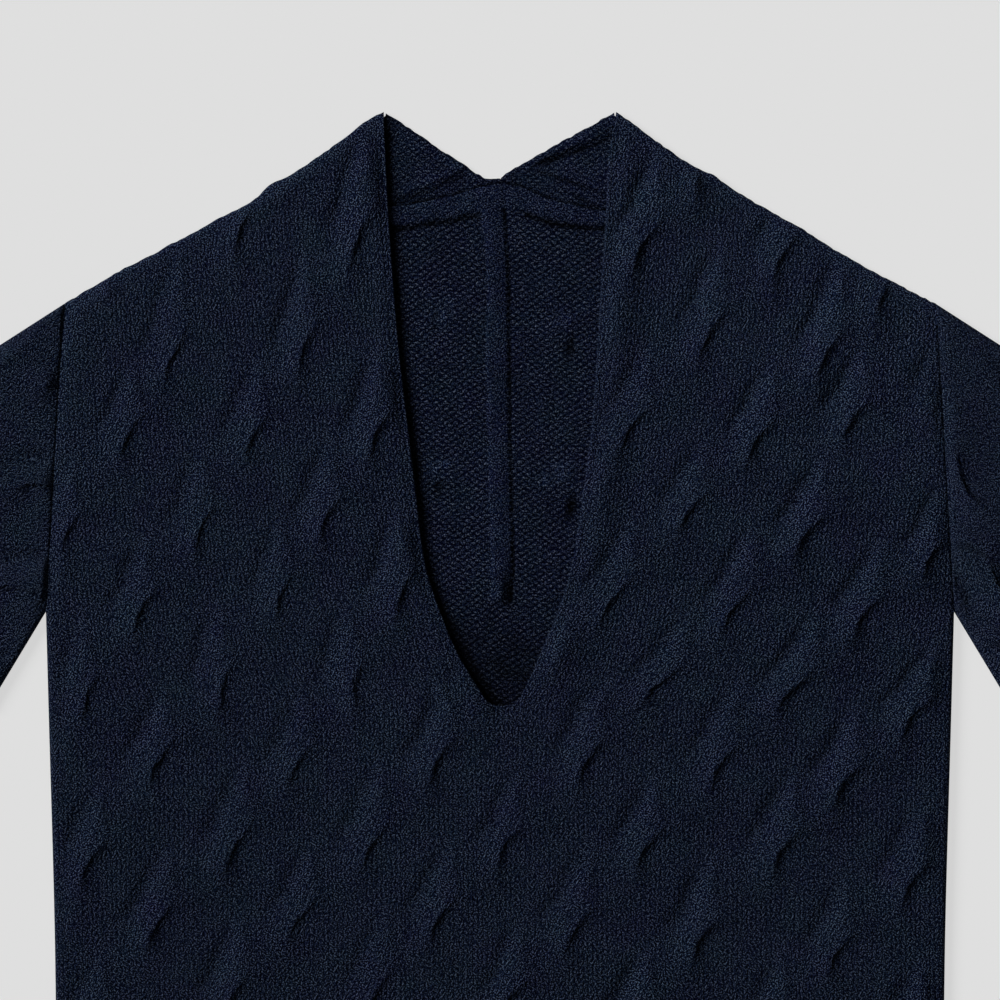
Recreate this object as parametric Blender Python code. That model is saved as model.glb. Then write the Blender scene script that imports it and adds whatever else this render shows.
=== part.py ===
"""Short-sleeve cable knit sweater, lying flat and face up.

Metres, +Z up, +Y towards the collar, +X to the right as it is looked at.
The origin is under the middle of the garment, at the height of the surface.

Every piece is a wall of knit. The back and the two back halves of the collar
lie on the surface. The front lies over them, and its edges turn down at the
sides and right round at the shoulders. The cables are raised in the front's
and the sleeves' upper points, over a plain inside.
"""
import math

import bpy
import numpy as np
from mathutils import Vector
from mathutils.geometry import delaunay_2d_cdt

# ---- driving dimensions, in metres ----
BODY_LENGTH = 0.620          # hem to neck tips
HEM_Y = -BODY_LENGTH / 2
TIP_Y = BODY_LENGTH / 2
TIP_X = 0.064                # half the distance between the neck tips
V_BOTTOM_Y = -0.0168

SHOULDER_END_X = 0.240       # upper end of the armhole seam, on the fold
UNDERARM_X = 0.250           # lower end of the armhole seam
UNDERARM_Y = 0.035
CUFF_TOP = (0.370, 0.1210)
CUFF_LOW = (0.2826, -0.0190)
NECK_POINT_X = 0.100         # where the back-neck seam runs into the shoulder fold

WALL = 0.0024                # thickness of the knit
LAYER_GAP = 0.0016           # between the back's inside and the front's inside
SEAM_GAP = 0.0003            # between two pieces at a seam
FOLD_SEAM_GAP = 0.0004       # between the fold's lower lip and the piece sewn to it
TIP_SEAM_GAP = 0.0016        # the same at a neck tip, round the end of the fold
EDGE = 0.0012                # how far an open edge is rounded

FRONT_LOW = WALL + LAYER_GAP
FRONT_TOP = FRONT_LOW + WALL
FOLD = FRONT_TOP / 2         # outer radius of a fold
FOLD_INSIDE = FOLD - WALL    # its inner radius
SIDE_LIP_TOP = FRONT_TOP / 2 + SEAM_GAP / 2
SIDE_LIP_LOW = FRONT_TOP / 2 - SEAM_GAP / 2

# ---- relief of the knit ----
CABLE_RISE = 0.0022          # a crossing's lobe above the plain knit
CABLE_PITCH = 0.0377         # from one cable to the next
CABLE_REPEAT = 0.09075       # from one crossing to the next in the same cable
CABLE_START_X = 0.0058       # the cable nearest the middle
CABLE_START_Y = -0.0462      # a crossing of its left neighbour
LOBE_OFFSET = (-0.0105, 0.0072)
LOBE_LEAN = math.radians(25)
LOBE_HALF_WIDTH = 0.0085
LOBE_HALF_LENGTH = 0.0215
FOLD_FADE = 0.010            # the relief dies out this close to a fold or an edge
NECK_EDGE_RISE = 0.0006
NECK_EDGE_WIDTH = 0.005
HEM_RISE = 0.0005
HEM_DEPTH = 0.016
ALLOWANCE_RISE = 0.0010      # seam allowances pressed onto the inside of the back
ALLOWANCE_DEPTH = 0.0100
ALLOWANCE_WIDTH = 0.0105
ALLOWANCE_END_Y = 0.033
ALLOWANCE_BEVEL = 0.001      # in from an allowance's edge to its full rise
NECK_ALLOWANCE_END_X = 0.072 # where the neck's allowance has died out under the front
COLLAR_EDGE_RISE = 0.0006

# ---- how finely each piece is divided ----
FRONT_COLUMNS = 33           # in each half
FRONT_ROWS_LOW = 29          # hem to the bottom of the V
FRONT_ROWS_UNDERARM = 8      # from there to the underarm
FRONT_ROWS_HIGH = 24         # from there to the shoulder
BACK_ROWS_SIDE = 15          # hem to the underarm
BACK_ROWS_ARMHOLE = 5        # from there up, short of the shoulder
BACK_SHOULDER_COLUMNS = 7
SLEEVE_COLUMNS = 22
SLEEVE_ROWS = 15
SLEEVE_LOWER_COLUMNS = 5
INSIDE_STEP = 6              # the plain inside is this many times coarser

# Half the body's width at a few heights.
SIDE_LINE = [
    {"y": HEM_Y, "x": 0.2440},
    {"y": -0.150, "x": 0.2450},
    {"y": -0.020, "x": 0.2485},
    {"y": UNDERARM_Y, "x": UNDERARM_X},
]
# The shoulder fold, from the neck tip out to the sleeve.
SHOULDER_LINE = [
    {"x": TIP_X, "y": TIP_Y},
    {"x": 0.113, "y": 0.2772},
    {"x": 0.140, "y": 0.2600},
    {"x": 0.206, "y": 0.2242},
    {"x": SHOULDER_END_X, "y": 0.2045},
]
# The two edges of the V, as distances from the middle.
NECK_LINE = [
    {"y": V_BOTTOM_Y, "left": 0.0000, "right": 0.0000},
    {"y": -0.0050, "left": 0.0122, "right": 0.0140},
    {"y": 0.0100, "left": 0.0218, "right": 0.0205},
    {"y": 0.0322, "left": 0.0314, "right": 0.0300},
    {"y": 0.0553, "left": 0.0392, "right": 0.0380},
    {"y": 0.1020, "left": 0.0460, "right": 0.0458},
    {"y": 0.1405, "left": 0.0506, "right": 0.0506},
    {"y": 0.1790, "left": 0.0552, "right": 0.0534},
    {"y": 0.2175, "left": 0.0583, "right": 0.0556},
    {"y": 0.2500, "left": 0.0606, "right": 0.0580},
    {"y": 0.2850, "left": 0.0628, "right": 0.0598},
    {"y": TIP_Y, "left": TIP_X, "right": TIP_X},
]
# The seam between the back and the collar, from the centre back outwards.
NECK_SEAM = [
    {"x": 0.000, "y": 0.2700},
    {"x": 0.012, "y": 0.2678},
    {"x": 0.026, "y": 0.2625},
    {"x": 0.040, "y": 0.2597},
    {"x": 0.056, "y": 0.2572},
    {"x": 0.072, "y": 0.2590},
    {"x": 0.086, "y": 0.2680},
    {"x": NECK_POINT_X, "y": 0.2816},
]
# Where that seam is divided, in both pieces, so that its gap is even.
NECK_STATIONS = [0.0, 0.0015, 0.0095, 0.0115, 0.0175, 0.026, 0.033, 0.040, 0.048, 0.056,
                 0.064, 0.072, 0.079, 0.086, 0.093, NECK_POINT_X]
# The free upper edge of the collar's back halves, from the centre back outwards.
COLLAR_EDGE = [
    {"x": 0.000, "left": 0.2740, "right": 0.2740},
    {"x": 0.007, "left": 0.2738, "right": 0.2785},
    {"x": 0.020, "left": 0.2812, "right": 0.2860},
    {"x": 0.040, "left": 0.2945, "right": 0.2971},
    {"x": 0.060, "left": 0.3077, "right": 0.3081},
    {"x": TIP_X, "left": 0.3100, "right": 0.3100},
]
# The centre-back seam leans a little to the right on its way down.
CENTRE_SEAM = [
    {"y": HEM_Y, "x": 0.0000},
    {"y": -0.050, "x": 0.0015},
    {"y": 0.054, "x": 0.0066},
    {"y": 0.140, "x": 0.0050},
    {"y": 0.250, "x": 0.0025},
    {"y": 0.275, "x": 0.0000},
]
# How far the cables have moved outwards, to make room for the V.
FAN = [
    {"y": HEM_Y, "spread": 0.0000},
    {"y": -0.046, "spread": 0.0000},
    {"y": -0.002, "spread": 0.0072},
    {"y": 0.042, "spread": 0.0183},
    {"y": 0.086, "spread": 0.0258},
    {"y": 0.135, "spread": 0.0314},
    {"y": 0.179, "spread": 0.0360},
    {"y": 0.234, "spread": 0.0405},
    {"y": TIP_Y, "spread": 0.0450},
]
FAN_NEAR = 1.05              # share of that spread in the middle
FAN_FALL = 2.36              # how fast the share falls, for each metre outwards
COURSE_TILT = {"left": 0.04, "right": 0.09}
TOP_STRETCH_Y = 0.180        # above this the courses are drawn apart
TOP_STRETCH = 0.22

NAVY = (0.0075, 0.0100, 0.0190, 1.0)


def column(table, name):
    return np.array([row[name] for row in table])


def smooth_curve(table, across, along, at):
    """Values of one column against another, as a smooth curve through the table's rows."""
    known = column(table, across)
    values = column(table, along)
    at = np.clip(np.asarray(at, dtype=float), known[0], known[-1])
    slopes = np.gradient(values, known)
    i = np.clip(np.searchsorted(known, at, side="right") - 1, 0, len(known) - 2)
    step = known[i + 1] - known[i]
    t = (at - known[i]) / step
    start = (1 + 2 * t) * (1 - t) ** 2 * values[i] + t * (1 - t) ** 2 * step * slopes[i]
    end = t * t * (3 - 2 * t) * values[i + 1] + t * t * (t - 1) * step * slopes[i + 1]
    return start + end


def straight_curve(table, across, along, at):
    return np.interp(at, column(table, across), column(table, along))


def side_x(y):
    return smooth_curve(SIDE_LINE, "y", "x", y)


def shoulder_y(x, inset=0.0):
    """Height of the shoulder fold, or of a line drawn inside it."""
    x = np.asarray(x, dtype=float)
    step = 0.002
    slope = (shoulder_line(x + step) - shoulder_line(x - step)) / (2 * step)
    return shoulder_line(x) - inset * np.sqrt(1 + slope ** 2)


def shoulder_line(x):
    known_x = column(SHOULDER_LINE, "x")
    known_y = column(SHOULDER_LINE, "y")
    first = (known_y[1] - known_y[0]) / (known_x[1] - known_x[0])
    inside = np.interp(x, known_x, known_y)
    return np.where(x < known_x[0], known_y[0] + first * (x - known_x[0]), inside)


def neck_seam(side_of_seam):
    """Points of the back-neck seam from the middle outwards, on the back (-1) or the collar (1)."""
    x = np.array(NECK_STATIONS)
    y = smooth_curve(NECK_SEAM, "x", "y", x)
    slope = np.gradient(y, x)
    y = y + side_of_seam * SEAM_GAP / 2 * np.sqrt(1 + slope ** 2)
    x[-1] -= side_of_seam * SEAM_GAP
    y[-1] = shoulder_y(x[-1], FOLD + FOLD_SEAM_GAP)
    return x, y


def armhole_x(y, gap=0.0):
    """The armhole seam is a straight line from the underarm to the shoulder fold."""
    share = (np.asarray(y) - UNDERARM_Y) / (SHOULDER_LINE[-1]["y"] - UNDERARM_Y)
    return UNDERARM_X + (SHOULDER_END_X - UNDERARM_X) * share - gap


def smoothstep(value):
    value = np.clip(value, 0.0, 1.0)
    return value * value * (3 - 2 * value)


def knit_coordinates(x, y):
    """Column and course position of a point of the front, with the fan undone."""
    spread = smooth_curve(FAN, "y", "spread", y)
    share_fall = 1 - FAN_FALL * spread
    outwards = np.maximum(np.abs(x) - FAN_NEAR * spread, 0.0) / share_fall
    tilt = np.where(x < 0, COURSE_TILT["left"], COURSE_TILT["right"])
    across = np.sign(x) * np.where(spread > 0, outwards, np.abs(x))
    along = y + tilt * np.abs(x) - TOP_STRETCH * np.maximum(y - TOP_STRETCH_Y, 0.0)
    return across, along


def cable_height(across, along):
    """A raised lobe, leaning to the right, at every crossing of the half-drop layout."""
    nearest = np.round((across - CABLE_START_X) / CABLE_PITCH)
    height = np.zeros_like(across)
    for neighbour in (-1, 0, 1):
        cable = nearest + neighbour
        drop = np.where(np.mod(cable, 2) == 0, CABLE_REPEAT / 2, 0.0)
        a = across - (CABLE_START_X + cable * CABLE_PITCH) - LOBE_OFFSET[0]
        b = along - CABLE_START_Y + drop - LOBE_OFFSET[1]
        b = b - np.round(b / CABLE_REPEAT) * CABLE_REPEAT
        beside = a * math.cos(LOBE_LEAN) - b * math.sin(LOBE_LEAN)
        lengthwise = a * math.sin(LOBE_LEAN) + b * math.cos(LOBE_LEAN)
        lobe = np.exp(-(beside / LOBE_HALF_WIDTH) ** 2 - (lengthwise / LOBE_HALF_LENGTH) ** 2)
        height = np.maximum(height, lobe)
    return CABLE_RISE * height


def four_sided(bottom, top, first, last):
    """Points inside four edges that meet at their ends: the edges' blend (a Coons patch)."""
    s = np.linspace(0, 1, len(bottom))[None, :, None]
    t = np.linspace(0, 1, len(first))[:, None, None]
    between_ends = (1 - t) * bottom[None] + t * top[None]
    between_sides = (1 - s) * first[:, None] + s * last[:, None]
    corners = ((1 - s) * (1 - t) * bottom[0] + s * (1 - t) * bottom[-1]
               + (1 - s) * t * top[0] + s * t * top[-1])
    return between_ends + between_sides - corners


def pairs(x, y):
    return np.stack(np.broadcast_arrays(np.asarray(x, float), np.asarray(y, float)), axis=-1)


def with_inner_offset(points, offset):
    """Each point of a line moved to its left by the offset."""
    along = np.gradient(points, axis=0)
    along /= np.linalg.norm(along, axis=1)[:, None]
    return points + offset * np.stack([-along[:, 1], along[:, 0]], axis=1)


class Solid:
    """A closed solid, gathered point by point and face by face."""

    def __init__(self, name):
        self.name = name
        self.points = []
        self.faces = []

    def point(self, x, y, z):
        self.points.append((float(x), float(y), float(z)))
        return len(self.points) - 1

    def face(self, a, b, c):
        if len({a, b, c}) == 3:
            self.faces.append((a, b, c))

    def strip(self, first, second):
        """Triangles between two neighbouring sections, which may have different counts."""
        i = 0
        j = 0
        while i < len(first) - 1 or j < len(second) - 1:
            share_i = (i + 1) / (len(first) - 1) if i < len(first) - 1 else 9.0
            share_j = (j + 1) / (len(second) - 1) if j < len(second) - 1 else 9.0
            if share_i <= share_j:
                self.face(first[i], first[i + 1], second[j])
                i += 1
            else:
                self.face(first[i], second[j + 1], second[j])
                j += 1

    def end_face(self, section, forwards):
        """Closes the end of an edge whose neighbour starts at the same place."""
        outer_count = len(section) // 2 + (len(section) > 4)
        outer = section[:outer_count]
        inner = section[outer_count:][::-1]
        if forwards:
            self.strip(outer, inner)
        else:
            self.strip(inner, outer)

    def make(self, colour=NAVY):
        mesh = bpy.data.meshes.new(self.name)
        mesh.from_pydata(self.points, [], self.faces)
        mesh.validate()
        solid = bpy.data.objects.new(self.name, mesh)
        bpy.context.scene.collection.objects.link(solid)
        material = bpy.data.materials.new(self.name + "_knit")
        material.use_nodes = True
        shader = material.node_tree.nodes["Principled BSDF"]
        shader.inputs["Base Color"].default_value = colour
        shader.inputs["Roughness"].default_value = 0.92
        shader.inputs["Metallic"].default_value = 0.0
        mesh.materials.append(material)
        mesh.shade_smooth()
        mesh.set_sharp_from_angle(angle=math.radians(50))
        return solid


# How the wall runs from its upper face to its lower face at an edge: each step
# is how far out it is (0 at the flat's edge, 1 at the outline) and its height.
def fold_right_round():
    half = math.sqrt(0.5)
    return [(half, FOLD + FOLD * half), (1.0, FOLD), (half, FOLD - FOLD * half), (0.0, 0.0),
            (0.0, WALL), (FOLD_INSIDE / FOLD, FOLD)]


def fold_down_to_side_seam():
    half = math.sqrt(0.5)
    return [(half, FOLD + FOLD * half), (1.0, SIDE_LIP_TOP), (FOLD_INSIDE / FOLD, SIDE_LIP_TOP)]


def fold_up_to_side_seam():
    half = math.sqrt(0.5)
    return [(FOLD_INSIDE / FOLD, SIDE_LIP_LOW), (1.0, SIDE_LIP_LOW), (half, FOLD - FOLD * half)]


def open_edge(low):
    return [(1.0, low + 0.75 * WALL), (1.0, low + 0.25 * WALL)]


def cut_edge():
    return []


def panel(name, left_grid, right_grid, joined_rows, rise, low, edges):
    """A panel from two halves, joined along the middle below the given row.

    The grids hold rows of points from the hem upwards, each from left to right.
    edges lists, counterclockwise from the left end of the hem, the half, row,
    column, outline point and profile of each step round the panel.
    """
    solid = Solid(name)
    index = {}
    for half, grid in (("left", left_grid), ("right", right_grid)):
        rows, columns = grid.shape[:2]
        heights = low + WALL + rise(grid[..., 0], grid[..., 1])
        for j in range(rows):
            for i in range(columns):
                if half == "right" and i == 0 and j <= joined_rows:
                    index[half, j, i] = index["left", j, left_grid.shape[1] - 1]
                else:
                    index[half, j, i] = solid.point(*grid[j, i], heights[j, i])
        for j in range(rows - 1):
            for i in range(columns - 1):
                corner = index[half, j, i]
                beside = index[half, j, i + 1]
                opposite = index[half, j + 1, i + 1]
                above = index[half, j + 1, i]
                solid.face(corner, beside, opposite)
                solid.face(corner, opposite, above)

    grids = {"left": left_grid, "right": right_grid}
    below = {}
    sections = []
    for half, j, i, outline, profile in edges:
        flat = grids[half][j, i]
        top = index[half, j, i]
        if top not in below:
            below[top] = solid.point(*flat, low)
        steps = [solid.point(*(flat + (outline - flat) * out), height) for out, height in profile]
        sections.append([top] + steps + [below[top]])
    for k, section in enumerate(sections):
        following = sections[(k + 1) % len(sections)]
        if section[0] == following[0]:
            solid.end_face(section, True)
            solid.end_face(following, False)
        else:
            solid.strip(section, following)

    border = list(dict.fromkeys(section[-1] for section in sections))
    inner = []
    for half, grid in grids.items():
        rows, columns = grid.shape[:2]
        for j in range(INSIDE_STEP, rows - INSIDE_STEP // 2, INSIDE_STEP):
            for i in range(INSIDE_STEP, columns - INSIDE_STEP // 2, INSIDE_STEP):
                inner.append(solid.point(*grid[j, i], low))
    plain_face(solid, border, inner)
    return solid.make()


def plain_face(solid, border, inner):
    """The plain face between border points, seen from below, in well-shaped triangles."""
    used = border + inner
    flat = [Vector(solid.points[k][:2]) for k in used]
    loop = list(range(len(border)))
    result = delaunay_2d_cdt(flat, [], [loop], 1, 1e-7)
    back_to = [used[origins[0]] for origins in result[3]]
    for a, b, c in result[2]:
        pa, pb, pc = (Vector(solid.points[back_to[k]][:2]) for k in (a, b, c))
        if (pb - pa).cross(pc - pa) > 0:
            a, b = b, a
        solid.face(back_to[a], back_to[b], back_to[c])


def spaced(start, end, count):
    return np.linspace(start, end, count + 1)


def front_half(neck_side):
    """Flat edge and outline of half the front, with the outer edge first."""
    columns = FRONT_COLUMNS
    rows = FRONT_ROWS_LOW + FRONT_ROWS_UNDERARM + FRONT_ROWS_HIGH

    # the armhole end of the shoulder and the neck tip, on the outline and on the flat
    end_y = SHOULDER_LINE[-1]["y"]
    slope = (shoulder_line(SHOULDER_END_X) - shoulder_line(SHOULDER_END_X - 0.01)) / 0.01
    end_drop = FOLD * math.sqrt(1 + slope ** 2)
    tip = np.array([-TIP_X, TIP_Y])
    tip_slope = (SHOULDER_LINE[0]["y"] - SHOULDER_LINE[1]["y"]) / (SHOULDER_LINE[1]["x"] - TIP_X)
    tip_flat_x = -TIP_X - EDGE
    tip_flat = np.array([tip_flat_x, TIP_Y - FOLD * math.hypot(1, tip_slope) - EDGE * tip_slope])

    low = spaced(HEM_Y + EDGE, V_BOTTOM_Y - EDGE, FRONT_ROWS_LOW)
    beside_v = spaced(low[-1], UNDERARM_Y, FRONT_ROWS_UNDERARM)[1:]
    high = spaced(UNDERARM_Y, end_y - end_drop, FRONT_ROWS_HIGH)[1:]
    side_rows = np.concatenate([low, beside_v[:-1]])
    armhole_rows = np.concatenate([beside_v[-1:], high])
    flat_outer = np.concatenate([
        pairs(-(side_x(side_rows) - FOLD), side_rows),
        pairs(-armhole_x(armhole_rows, SEAM_GAP / 2), armhole_rows)])
    outline_outer = np.concatenate([
        pairs(-side_x(side_rows), side_rows),
        pairs(-armhole_x(armhole_rows, SEAM_GAP / 2), armhole_rows)])
    outline_outer[0, 1] = HEM_Y

    # the V edge, with closer rows where it turns at the bottom
    share = spaced(0, 1, rows - FRONT_ROWS_LOW) ** 1.12
    v_y = V_BOTTOM_Y + (TIP_Y - V_BOTTOM_Y) * share
    v_outline = pairs(-smooth_curve(NECK_LINE, "y", neck_side, v_y), v_y)
    v_flat = with_inner_offset(v_outline, EDGE)
    v_flat[0] = (0.0, V_BOTTOM_Y - EDGE)
    v_flat[-1] = tip_flat
    middle = pairs(0.0, low)
    flat_inner = np.concatenate([middle[:-1], v_flat])
    outline_inner = np.concatenate([middle[:-1], v_outline])

    hem_x = spaced(flat_outer[0, 0], 0.0, columns)
    flat_hem = pairs(hem_x, low[0])
    outline_hem = pairs(hem_x, HEM_Y)
    outline_hem[0] = outline_outer[0]

    top_x = spaced(flat_outer[-1, 0], tip_flat[0], columns)
    flat_top = pairs(top_x, shoulder_y(-top_x, FOLD))
    flat_top[0] = flat_outer[-1]
    flat_top[-1] = tip_flat
    outline_x = spaced(-SHOULDER_END_X + SEAM_GAP / 2, -TIP_X, columns)
    outline_top = pairs(outline_x, shoulder_y(-outline_x))
    outline_top[-1] = tip

    grid = four_sided(flat_hem, flat_top, flat_outer, flat_inner)
    return {"grid": grid, "hem": outline_hem, "outer": outline_outer,
            "inner": outline_inner, "top": outline_top}


def mirrored(half):
    """The same half on the other side: x changes sign and columns run the other way."""
    flipped = {}
    for key, points in half.items():
        points = points * np.array([-1.0, 1.0])
        if key in ("grid",):
            points = points[:, ::-1]
        elif key in ("hem", "top"):
            points = points[::-1]
        flipped[key] = points
    return flipped


def front_rise(x, y):
    """Relief of the front's upper face: cables, the neck's edge and the turned hem."""
    left = smooth_curve(NECK_LINE, "y", "left", y)
    right = smooth_curve(NECK_LINE, "y", "right", y)
    from_v = np.where(x < 0, -x - left, x - right)
    from_v = np.where(y < V_BOTTOM_Y, np.hypot(x, y - V_BOTTOM_Y), from_v)
    from_side = np.where(y < UNDERARM_Y, side_x(y) - np.abs(x), FOLD + FOLD_FADE)
    from_shoulder = (shoulder_line(np.abs(x)) - y) * 0.85
    from_hem = y - HEM_Y - HEM_DEPTH
    fade = smoothstep((from_side - FOLD) / FOLD_FADE)
    fade = fade * smoothstep((from_shoulder - FOLD) / FOLD_FADE + 0.2)
    fade = fade * smoothstep(from_hem / FOLD_FADE)
    fade = fade * smoothstep((from_v - EDGE) / FOLD_FADE + 0.2)
    across, along = knit_coordinates(x, y)
    edge = NECK_EDGE_RISE * smoothstep((NECK_EDGE_WIDTH - from_v) / NECK_EDGE_WIDTH)
    hem = HEM_RISE * smoothstep((HEM_Y + HEM_DEPTH - y) / 0.002)
    return cable_height(across, along) * fade + edge + hem


def body_front():
    left = front_half("left")
    right = mirrored(front_half("right"))
    rows, columns = left["grid"].shape[:2]
    last = columns - 1
    top = rows - 1
    joined = FRONT_ROWS_LOW
    on_side = FRONT_ROWS_LOW + FRONT_ROWS_UNDERARM
    side = fold_down_to_side_seam()
    shoulder = fold_right_round()
    free = open_edge(FRONT_LOW)
    tip_end = {}
    for half, points, i in (("left", left, last), ("right", right, 0)):
        at = points["grid"][top, i]
        sign = -1 if half == "left" else 1
        x = sign * smooth_curve(NECK_LINE, "y", half, at[1])
        tip_end[half] = np.array([x, at[1]])

    edges = [("left", 0, 0, left["hem"][0], side)]
    edges += [("left", 0, i, left["hem"][i], free) for i in range(1, columns)]
    edges += [("right", 0, i, right["hem"][i], free) for i in range(1, last)]
    edges += [("right", 0, last, right["hem"][last], side)]
    for j in range(1, top):
        edges.append(("right", j, last, right["outer"][j], side if j < on_side else cut_edge()))
    edges.append(("right", top, last, right["outer"][top], cut_edge()))
    edges += [("right", top, i, right["top"][i], shoulder) for i in range(last, -1, -1)]
    edges.append(("right", top, 0, tip_end["right"], free))
    edges += [("right", j, 0, right["inner"][j], free) for j in range(top - 1, joined - 1, -1)]
    edges += [("left", j, last, left["inner"][j], free) for j in range(joined + 1, top)]
    edges.append(("left", top, last, tip_end["left"], free))
    edges += [("left", top, i, left["top"][i], shoulder) for i in range(last, -1, -1)]
    edges.append(("left", top, 0, left["outer"][top], cut_edge()))
    for j in range(top - 1, 0, -1):
        edges.append(("left", j, 0, left["outer"][j], side if j < on_side else cut_edge()))
    panel("front", left["grid"], right["grid"], joined, front_rise, FRONT_LOW, edges)


def back_rise(x, y):
    """Seam allowances pressed onto the back's inside: down the middle and along the neck."""
    beside_seam = smooth_curve(CENTRE_SEAM, "y", "x", y) - x
    on_strip = (beside_seam > ALLOWANCE_BEVEL) & (beside_seam < ALLOWANCE_WIDTH - ALLOWANCE_BEVEL / 2)
    centre = np.where(on_strip & (y > ALLOWANCE_END_Y), 1.0, 0.0)
    under_neck = smooth_curve(NECK_SEAM, "x", "y", np.abs(x)) - y
    on_band = (under_neck > ALLOWANCE_BEVEL) & (under_neck < ALLOWANCE_DEPTH - ALLOWANCE_BEVEL / 2)
    band = np.where(on_band, 1.0, 0.0) * smoothstep((NECK_ALLOWANCE_END_X - np.abs(x)) / 0.020)
    return ALLOWANCE_RISE * np.maximum(centre, band)


def back_half():
    """Flat edge and outline of half the back, with the outer edge first."""
    end_slope = (shoulder_line(SHOULDER_END_X) - shoulder_line(SHOULDER_END_X - 0.01)) / 0.01
    under_fold = FOLD + FOLD_SEAM_GAP
    end_y = SHOULDER_LINE[-1]["y"] - under_fold * math.sqrt(1 + end_slope ** 2)
    neck_y = neck_seam(-1)[1][0]
    # close rows on both sides of the neck's allowance, and wide ones below it
    depths = np.array([0.030, ALLOWANCE_DEPTH, ALLOWANCE_DEPTH - ALLOWANCE_BEVEL,
                       1.5 * ALLOWANCE_BEVEL, 0.0])
    first_depth = 0.055
    side_rows = spaced(HEM_Y + EDGE, UNDERARM_Y, BACK_ROWS_SIDE)
    armhole_low = spaced(UNDERARM_Y, end_y - first_depth, BACK_ROWS_ARMHOLE)[1:]
    armhole_rows = np.concatenate([armhole_low, end_y - depths])
    middle_low = spaced(HEM_Y + EDGE, ALLOWANCE_END_Y, BACK_ROWS_SIDE)
    middle_high = spaced(ALLOWANCE_END_Y, neck_y - first_depth, BACK_ROWS_ARMHOLE)[1:]
    middle_rows = np.concatenate([middle_low, middle_high, neck_y - depths])
    flat_outer = np.concatenate([
        pairs(-(side_x(side_rows[:-1]) - FOLD), side_rows[:-1]),
        pairs(-armhole_x(UNDERARM_Y, SEAM_GAP / 2), UNDERARM_Y)[None],
        pairs(-armhole_x(armhole_rows, SEAM_GAP / 2), armhole_rows)])
    outline_outer = flat_outer.copy()
    outline_outer[:len(side_rows) - 1, 0] = -side_x(side_rows[:-1])
    outline_outer[0, 1] = HEM_Y

    seam_x, seam_y = neck_seam(-1)
    shoulder_x = spaced(flat_outer[-1, 0], -seam_x[-1], BACK_SHOULDER_COLUMNS)[:-1]
    top_x = np.concatenate([shoulder_x, -seam_x[::-1]])
    top_y = np.concatenate([shoulder_y(-shoulder_x, under_fold), seam_y[::-1]])
    flat_top = pairs(top_x, top_y)
    flat_top[0] = flat_outer[-1]
    hem_share = (top_x - top_x[0]) / (top_x[-1] - top_x[0])
    hem_x = flat_outer[0, 0] * (1 - hem_share)
    flat_hem = pairs(hem_x, HEM_Y + EDGE)
    outline_hem = pairs(hem_x, HEM_Y)
    outline_hem[0] = outline_outer[0]
    flat_inner = pairs(0.0, middle_rows)
    flat_inner[-1] = flat_top[-1]
    grid = four_sided(flat_hem, flat_top, flat_outer, flat_inner)
    return {"grid": grid, "hem": outline_hem, "outer": outline_outer, "inner": flat_inner,
            "top": flat_top}


def along_centre_seam(grid, side):
    """Moves a half's columns nearest the middle onto the centre-back seam and its allowance."""
    seam = smooth_curve(CENTRE_SEAM, "y", "x", grid[:, :, 1])
    near = smoothstep((0.060 - np.abs(grid[:, :, 0])) / 0.045)
    moved = grid.copy()
    moved[:, :, 0] += seam * near
    if side == "left":
        for k in (1, 2, 3):
            moved[:, -1 - k, 0] = seam[:, -1 - k] - NECK_STATIONS[k]
    moved[-1] = grid[-1]
    return moved


def body_back():
    half = back_half()
    left = dict(half)
    left["grid"] = along_centre_seam(half["grid"].copy(), "left")
    right = mirrored(half)
    right["grid"] = along_centre_seam(right["grid"].copy(), "right")
    right["grid"][:, 0] = left["grid"][:, -1]
    rows, columns = left["grid"].shape[:2]
    last = columns - 1
    top = rows - 1
    on_side = BACK_ROWS_SIDE
    side = fold_up_to_side_seam()
    free = open_edge(0.0)
    edges = [("left", 0, 0, left["hem"][0], side)]
    for name, grid, first, end in (("left", left, 1, columns), ("right", right, 1, last)):
        for i in range(first, end):
            at = grid["grid"][0, i]
            edges.append((name, 0, i, np.array([at[0], HEM_Y]), free))
    edges += [("right", 0, last, right["hem"][last], side)]
    for j in range(1, top + 1):
        edges.append(("right", j, last, right["outer"][j], side if j < on_side else cut_edge()))
    edges += [("right", top, i, right["grid"][top, i], cut_edge()) for i in range(last - 1, 0, -1)]
    edges += [("left", top, i, left["grid"][top, i], cut_edge()) for i in range(last, -1, -1)]
    for j in range(top - 1, 0, -1):
        edges.append(("left", j, 0, left["outer"][j], side if j < on_side else cut_edge()))
    panel("back", left["grid"], right["grid"], top, back_rise, 0.0, edges)


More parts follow.
